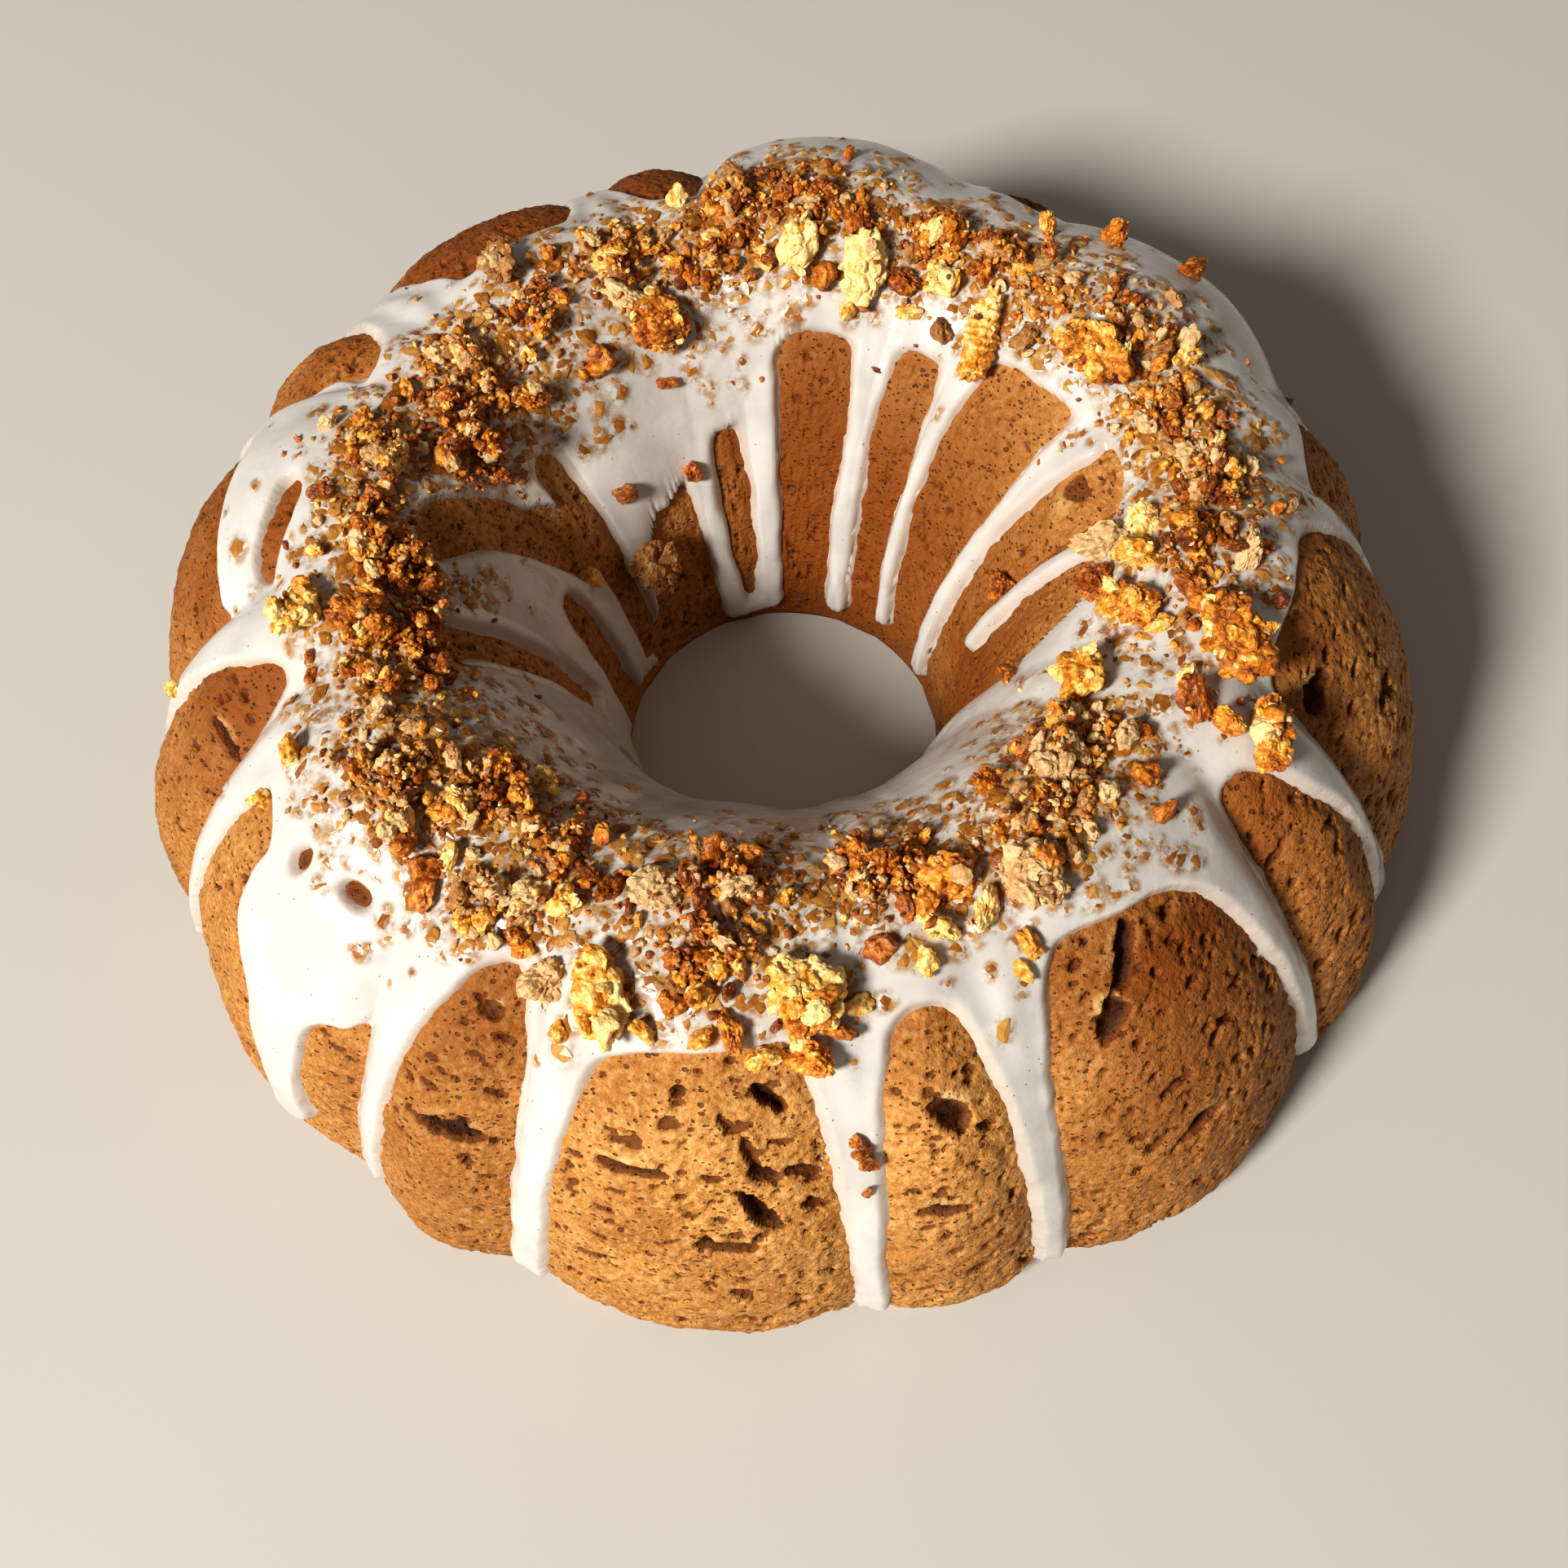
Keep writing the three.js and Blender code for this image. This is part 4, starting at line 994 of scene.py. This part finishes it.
def lump_points(size, built, seed, detail):
    """A lump's points round the origin, its faces, and how far along each point lies, -1 to 1."""
    unit, faces = ball(detail)
    square = np.abs(unit).max(axis=1, keepdims=True) ** -LUMP_BOXINESS
    half = np.array(size) / 2
    swell = 1 + LUMP_ROUGHNESS * layered_noise(unit * 1.2 + seed, 1, seed)
    points = unit * square * half * swell[:, None]
    along = unit[:, 1]
    place = points + seed * 31.7
    if built == "granular":
        out = 1.5 * grains(place, 3.2, seed) + 0.8 * grains(place, 1.5, seed + 9) - 1.3
    elif built == "crumbly":
        out = 1.4 * grains(place, 3.4, seed) + 0.6 * layered_noise(place, 1.5, seed) - 0.8
    elif built == "ridged":
        wave = np.sin(points[:, 1] * 3.4 + 1.2 * noise(place, 5, seed))
        out = 0.35 * wave + 0.5 * layered_noise(place, 2.4, seed) - 0.2
    else:
        fold = np.abs(layered_noise(place * (1, 0.6, 1), 4, seed, layers=2))
        out = 2.6 * fold + 0.9 * grains(place, 1.7, seed) - 1.4
    crooked = np.stack([noise(place, 3.5, seed + other) for other in CROOKED_SEEDS], axis=-1)
    points = points + unit * out[:, None] + LUMP_CROOKEDNESS * crooked
    low, high = points.min(axis=0), points.max(axis=0)
    core = 1 if built == "ridged" else CORE_SHARE
    points = (points - (low + high) / 2) * core * np.array(size) / (high - low)
    return points, faces, along, out


def stuck_bits(core, pale, size, built, number):
    """Bits stuck all over a lump's upper side: the points, faces and paleness of each sort."""
    random = np.random.default_rng(STUCK_SEED + number)
    upper = np.flatnonzero(core[:, 2] > -0.2 * size[2])
    for density, smallest, largest, detail in STUCK_BITS:
        count = int(size[0] * size[1] * density[built])
        if count == 0:
            continue
        chosen = random.choice(upper, size=count)
        sizes = mix(smallest, largest, random.random(count) ** 1.6)
        shapes, unit_faces = jagged_bits(random, sizes, detail)
        points, faces = bits_at(shapes, unit_faces, core[chosen] * 0.96)
        tones = pale[chosen] + random.normal(0.05, 0.16, count)
        tones = np.where(random.random(count) < FLAKE_SHARE, FLAKE_PALE, tones)
        yield points, faces, np.repeat(tones, shapes.shape[1])


def make_lump(number, lump, materials):
    around, over, length, width, tall, turn, kind, built, pale_outer, pale_inner = lump
    size = (length, width, tall)
    inside = float(packed_inside(np.array(float(around)), np.array(float(over))))
    lift = (GAP if inside < 0 else 2 * GAP + GLAZE_THICKNESS) + tall * LUMP_STANCE
    detail = 6 if max(length, width) > LARGE_LUMP else 5
    points, faces, along, out = lump_points(size, built, number, detail)
    patchy = noise(points, 4, number + PATCHY_SEED)
    # Paler where the surface bulges out and darker in its crevices, as painted light and shade, on top of
    # patchy tone from end to end.
    pale = mix(pale_outer, pale_inner, along / 2 + 0.5) + 0.2 * patchy + 0.2 * out
    for bit_points, bit_faces, bit_pale in stuck_bits(points, pale, size, built, number):
        faces = np.concatenate([faces, bit_faces + len(points)])
        points = np.concatenate([points, bit_points])
        pale = np.concatenate([pale, bit_pale])
    placed = stand_on_ring(points, around, over, lift, turn, glaze_fill(inside))
    name = f"{kind}_lump_{number:02d}"
    piece = make_object(name, placed, faces.tolist(), materials[kind], (("pale", pale),), smooth=False)
    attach(piece, "root")
    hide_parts(f"lump_{number:02d}")


def seeded_random(seed):
    """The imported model's own random numbers, so that its crumbs are found where they lie."""
    state = seed
    while True:
        state = (state * 1664525 + 1013904223) % 4294967296
        yield state / 4294967296


def point_at(around, over):
    """One point on the ring."""
    return ring_point(np.array(float(around)), np.array(float(over)))


def packed_crumbs():
    """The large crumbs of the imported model: around, over, size and its cluster's share of toffee."""
    draws = seeded_random(PACKED_SEED)

    def spread():
        return next(draws) + next(draws) + next(draws) - 1.5

    total = sum(cluster[3] for cluster in CRUMB_CLUSTERS)
    taken = [(point_at(*lump[:2]), max(lump[2:4]) / 2 + 1) for lump in LUMPS]
    crumbs = []
    for number in range(PACKED_COUNT):
        size = mix(PACKED_LARGEST, PACKED_SMALLEST, math.sqrt(number / (PACKED_COUNT - 1)))
        for _ in range(PACKED_TRIES):
            pick = next(draws) * total
            for cluster in CRUMB_CLUSTERS:
                pick -= cluster[3]
                if pick <= 0:
                    break
            degree = math.radians(math.hypot(*point_at(*cluster[:2])[:2]))
            around = cluster[0] + spread() * cluster[2] * PACKED_SPREAD / degree
            over = cluster[1] + spread() * cluster[2] * PACKED_SPREAD / OVER_SCALE
            at = point_at(around, over)
            clear = all(np.linalg.norm(at - other) > radius + size / 2 for other, radius in taken)
            if not clear or packed_inside(np.array(around), np.array(over)) < size / 2:
                continue
            taken.append((at, size / 2 - PACKED_OVERLAP))
            crumbs.append((around, over, size, cluster[4]))
            next(draws)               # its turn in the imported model
            break
    return crumbs


class Scatter:
    """Crumbs laid one after another, each on what already lies there."""

    def __init__(self, random, ground):
        self.random = random
        self.ground_z = ground.points[..., 2]
        self.pile = np.zeros((COLUMNS, ROWS))    # how high it is piled above the ground
        self.laid = {kind: [] for kind in CRUMB_NAMES}

    def heap(self, around, over, half_length, half_width, turn, top):
        """Raises the pile by a lump whose top is that far above the ground."""
        block, x, y = window(around, over, max(half_length, half_width))
        away = oval_distance(x, y, turn, half_length, half_width)
        round_top = np.where(away < 1, top * np.sqrt(np.clip(1 - away**2, 0, 1)), 0)
        self.pile[block] = np.maximum(self.pile[block], round_top)

    def lay(self, around, over, size, kind, pale, settle):
        """Lays a crumb of that size, sunk by settle times its size into what it lies on."""
        block, x, y = window(around, over, size / 2)
        level = self.pile[block]
        if not level.size:
            return
        away = np.hypot(x, y)
        near = away < size * 0.35 + 0.3
        under = float(level[near].mean()) if near.any() else float(level.mean())
        lift = under + size * (0.42 - settle)
        if float(self.ground_z[block].mean()) + lift + size / 2 > TOP:
            return
        self.laid[kind].append((around, over, lift, size, pale))
        dome = lift + size * 0.36 * np.sqrt(np.clip(1 - (away / (size * 0.5)) ** 2, 0, 1))
        self.pile[block] = np.where(away < size * 0.5, np.maximum(level, dome), level)


def pick_kind(random, toffee_share):
    """What a crumb is made of, and how pale it is."""
    draw = random.random()
    if draw < toffee_share:
        return "toffee", np.clip(random.normal(0.42, 0.2), 0.12, 0.95)
    if draw < toffee_share + (1 - toffee_share) * OATS_SHARE:
        return "oats", random.uniform(0.2, 1.1)
    return "honeycomb", random.uniform(0.4, 0.9)


def pick_clusters(random, count):
    """The clusters that so many crumbs belong to, in columns as in the table."""
    shares = np.array([cluster[3] for cluster in CRUMB_CLUSTERS])
    picks = random.choice(len(CRUMB_CLUSTERS), size=count, p=shares / shares.sum())
    return np.array(CRUMB_CLUSTERS)[picks].T


def scatter_crumbs(scatter, count, largest, smallest, in_band, settle):
    """Crumbs gathered in the clusters, and a share of them loose along the whole band."""
    random = scatter.random
    middle_around, middle_over, spread, _, toffee_share = pick_clusters(random, count)
    radius = np.linalg.norm(ring_point(middle_around, middle_over)[:, :2], axis=-1)
    sideways, upwards = random.normal(0, 0.6, (2, count)) * spread
    loose = random.random(count) < in_band
    anywhere = random.uniform(-180, 180, count)
    around = np.where(loose, anywhere, middle_around + sideways / np.radians(radius))
    anywhere = random.normal(BAND_MIDDLE, BAND_SPREAD, count)
    over = np.where(loose, anywhere, middle_over + upwards / OVER_SCALE)
    size = mix(smallest, largest, random.random(count) ** 2.2)
    fits = (glaze_inside(around, over) > 0.6 * size) & (over > BAND_LOW) & (over < BAND_HIGH)
    for place in np.flatnonzero(fits):
        kind, pale = pick_kind(random, toffee_share[place])
        scatter.lay(around[place], over[place], size[place], kind, pale, settle)


def random_turns(random, count):
    """Random rotation matrices."""
    q = random.normal(size=(count, 4))
    w, x, y, z = (q / np.linalg.norm(q, axis=1, keepdims=True)).T
    return np.stack([
        np.stack([1 - 2 * (y * y + z * z), 2 * (x * y - z * w), 2 * (x * z + y * w)], -1),
        np.stack([2 * (x * y + z * w), 1 - 2 * (x * x + z * z), 2 * (y * z - x * w)], -1),
        np.stack([2 * (x * z - y * w), 2 * (y * z + x * w), 1 - 2 * (x * x + y * y)], -1)], axis=1)


def jagged_bits(random, sizes, detail):
    """Broken bits of the given sizes round the origin: the points of each, and the faces of one."""
    unit, unit_faces = ball(detail)
    stretch = random.uniform(0.45, 0.95, size=(len(sizes), 3))
    stretch[:, 0] = 1.05
    shapes = unit[None] * (sizes[:, None] / 2 * stretch)[:, None]
    shift = np.arange(len(sizes))[:, None, None] * 13.7
    rough = 1 + 0.4 * noise(unit[None] * 1.5 + shift, 1, JAG_SEED)
    rough = rough + random.uniform(-CRUMB_JAG, CRUMB_JAG, size=rough.shape)
    if detail > 2:
        rough = rough + 0.3 * grains(shapes + shift, 1.6, JAG_SEED + 1) - 0.2
    turns = random_turns(random, len(sizes))
    return np.einsum("nij,nvj->nvi", turns, shapes * rough[..., None]), unit_faces


def bits_at(shapes, unit_faces, places):
    """The points of bits at their places, and the faces of them all."""
    points = (shapes + places[:, None]).reshape(-1, 3)
    faces = unit_faces[None] + (np.arange(len(shapes)) * shapes.shape[1])[:, None, None]
    return points, faces.reshape(-1, 3)


def make_crumbs(kind, crumbs, ground, random, material):
    """All the crumbs of one kind as one piece."""
    around, over, lift, size, pale = np.array(crumbs, float).T
    base, up = ground.at(around, over)
    places = base + up * lift[:, None]
    detail = np.searchsorted([start for _, start in DETAIL_FROM], size, side="right")
    points, faces, tones, count = [], [], [], 0
    for wanted, _ in DETAIL_FROM:
        chosen = detail == wanted
        if not chosen.any():
            continue
        shapes, unit_faces = jagged_bits(random, size[chosen], wanted)
        group_points, group_faces = bits_at(shapes, unit_faces, places[chosen])
        faces.append(group_faces + count)
        points.append(group_points)
        tones.append(np.repeat(pale[chosen], shapes.shape[1]))
        count += len(group_points)
    piece = make_object(CRUMB_NAMES[kind], np.concatenate(points), np.concatenate(faces).tolist(),
                        material, (("pale", np.concatenate(tones)),), smooth=False)
    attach(piece, "root")
    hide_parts("glaze")


def fleck_places(random):
    """Where crumbs have sunk into the glaze: around, over, length and paleness of each."""
    middle_around, middle_over = pick_clusters(random, FLECK_COUNT)[:2]
    around = middle_around + random.normal(0, FLECK_SPREAD[0], FLECK_COUNT)
    over = middle_over + random.normal(0, FLECK_SPREAD[1], FLECK_COUNT)
    length = mix(FLECK_SHORTEST, FLECK_LONGEST, random.random(FLECK_COUNT) ** 2)
    pale = random.random(FLECK_COUNT)
    fits = glaze_inside(around, over) > 0.8 * length
    return np.stack([around, over, length, pale], axis=-1)[fits]


def stain_glaze(flecks):
    """How brown syrup has stained the glaze at each point, and how far flecks raise its skin."""
    stain, raised = np.zeros((COLUMNS, ROWS)), np.zeros((COLUMNS, ROWS))
    for around, over, spread, share, _ in CRUMB_CLUSTERS:
        block, x, y = window(around, over, spread * 2.2)
        stain[block] += 0.8 * share * np.exp(-(x**2 + y**2) / (spread * 0.9) ** 2)
    for around, over, length, pale in flecks:
        block, x, y = window(around, over, length + 0.8)
        away = np.hypot(x, y) / (length * 0.8 + 0.5)
        stain[block] = np.maximum(stain[block], mix(1, 0.6, pale) * smooth_step(1, 0.45, away))
        raised[block] += FLECK_DEPTH * length * smooth_step(0.8, 0, away)
    return np.clip(stain, 0, 1), raised


def make_flecks(flecks, ground, random, material):
    """Flat flecks that lie along the glaze and break its skin by a hair."""
    unit, unit_faces = ball(1)
    around, over, length, pale = np.array(flecks).T
    base, up = ground.at(around, over)
    turn = random.uniform(0, np.pi, len(flecks))[:, None]
    angle = np.radians(around)
    along = np.stack([np.cos(angle), np.sin(angle), np.zeros(len(flecks))], axis=-1)
    along -= up * (along * up).sum(-1, keepdims=True)
    along /= np.linalg.norm(along, axis=-1, keepdims=True)
    across = np.cross(up, along)
    lengthwise = along * np.cos(turn) + across * np.sin(turn)
    sideways = across * np.cos(turn) - along * np.sin(turn)
    half_width = length * random.uniform(0.25, 0.45, len(flecks))
    half = np.stack([length / 2, half_width, length * FLECK_THINNESS], axis=-1)
    jagged = unit[None] * random.uniform(0.6, 1.2, size=(len(flecks), len(unit), 1))
    axes = np.stack([lengthwise, sideways, up], axis=1)
    shapes = np.einsum("nvi,nij->nvj", jagged * half[:, None], axes)
    points, faces = bits_at(shapes, unit_faces, base - up * (length * FLECK_DEPTH)[:, None])
    piece = make_object("soaked_crumbs", points, faces.tolist(), material,
                        (("pale", np.repeat(pale, len(unit))),), smooth=False)
    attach(piece, "root")
    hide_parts("glaze")


# ---- The cake ------------------------------------------------------------


def make_cake():
    toppings = {kind: sugar_material(kind) for kind in ("toffee", "honeycomb")}
    toppings["oats"] = oats_material()
    crust = make_crust(crust_material())
    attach(crust, "root")
    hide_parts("crust")

    random = np.random.default_rng(SCATTER_SEED)
    flecks = fleck_places(random)
    stain, raised = stain_glaze(flecks)
    ground = Ground()
    ground.raise_glaze(raised)
    glaze = make_glaze(glaze_material(), ground.glaze, stain)
    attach(glaze, "root")
    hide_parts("glaze")
    make_flecks(flecks, ground, random, soaked_material())

    scatter = Scatter(random, ground)
    for number, lump in enumerate(LUMPS, start=1):
        make_lump(number, lump, toppings)
        around, over, length, width, tall, turn = lump[:6]
        scatter.heap(around, over, length / 2, width / 2, turn, tall * LUMP_HEAP)
    for kind, bits in BITS.items():
        for around, over, size, pale in bits:
            scatter.lay(around, over, size, kind, pale, SETTLE)
    for around, over, size, toffee_share in packed_crumbs():
        kind, pale = pick_kind(random, toffee_share)
        scatter.lay(around, over, size, kind, pale, SETTLE)
    for crumbs in LOOSE_CRUMBS:
        scatter_crumbs(scatter, *crumbs)
    for kind, crumbs in scatter.laid.items():
        make_crumbs(kind, crumbs, ground, random, toppings[kind])


# ---- Floor, light and camera ---------------------------------------------

FLOOR_SIZE = 6
IMAGE_SIDE = 1924
FOCAL_PIXELS = 2314.9
SENSOR = 36
TARGET = Vector((-0.512, -10.789, 0)) * MM
DISTANCE = 390.77 * MM
TILT = 60.902                     # elevation of the camera above the horizon
ROLL = -3.856
# The key light: its direction from the cake, its distance and size in metres, and its power.
KEY_AROUND, KEY_ELEVATION, KEY_DISTANCE, KEY_SIZE, KEY_POWER = -46, 39, 2.8, 0.62, 108
KEY_COLOUR = (1.0, 0.96, 0.88)
KEY_AIM = Vector((0, 0, 0.04))
SKY_COLOUR, SKY_STRENGTH = (1.0, 0.89, 0.78), 0.16


def make_floor():
    half = FLOOR_SIZE / 2
    mesh = bpy.data.meshes.new("floor")
    corners = [(-half, -half, 0), (half, -half, 0), (half, half, 0), (-half, half, 0)]
    mesh.from_pydata(corners, [], [(0, 1, 2, 3)])
    mesh.materials.append(floor_material())
    floor = bpy.data.objects.new("floor", mesh)
    bpy.context.scene.collection.objects.link(floor)


def make_camera():
    data = bpy.data.cameras.new("camera")
    data.sensor_width = SENSOR
    data.lens = FOCAL_PIXELS * SENSOR / IMAGE_SIDE
    data.clip_start, data.clip_end = 0.01, 20
    camera = bpy.data.objects.new("camera", data)
    tilt, roll = math.radians(TILT), math.radians(ROLL)
    back = Vector((0, -math.cos(tilt), math.sin(tilt)))
    up = Vector((0, math.sin(tilt), math.cos(tilt)))
    right = Vector((1, 0, 0))
    x_axis = right * math.cos(roll) + up * math.sin(roll)
    y_axis = up * math.cos(roll) - right * math.sin(roll)
    camera.matrix_world = Matrix((x_axis, y_axis, back)).transposed().to_4x4()
    camera.location = TARGET + back * DISTANCE
    bpy.context.scene.collection.objects.link(camera)
    bpy.context.scene.camera = camera


def make_key_light():
    data = bpy.data.lights.new("key", "AREA")
    data.shape = "DISK"
    data.size = KEY_SIZE
    data.energy = KEY_POWER
    data.color = KEY_COLOUR
    light = bpy.data.objects.new("key", data)
    a, e = math.radians(KEY_AROUND), math.radians(KEY_ELEVATION)
    away = Vector((math.sin(a) * math.cos(e), -math.cos(a) * math.cos(e), math.sin(e)))
    light.location = away * KEY_DISTANCE + KEY_AIM
    light.rotation_euler = away.to_track_quat("Z", "Y").to_euler()
    bpy.context.scene.collection.objects.link(light)


def make_sky():
    world = bpy.data.worlds.new("studio")
    world.use_nodes = True
    background = world.node_tree.nodes["Background"]
    background.inputs["Color"].default_value = (*SKY_COLOUR, 1)
    background.inputs["Strength"].default_value = SKY_STRENGTH
    bpy.context.scene.world = world
    view = bpy.context.scene.view_settings
    view.view_transform = "Standard"
    view.look = "Medium High Contrast"


make_cake()
make_floor()
make_camera()
make_key_light()
make_sky()
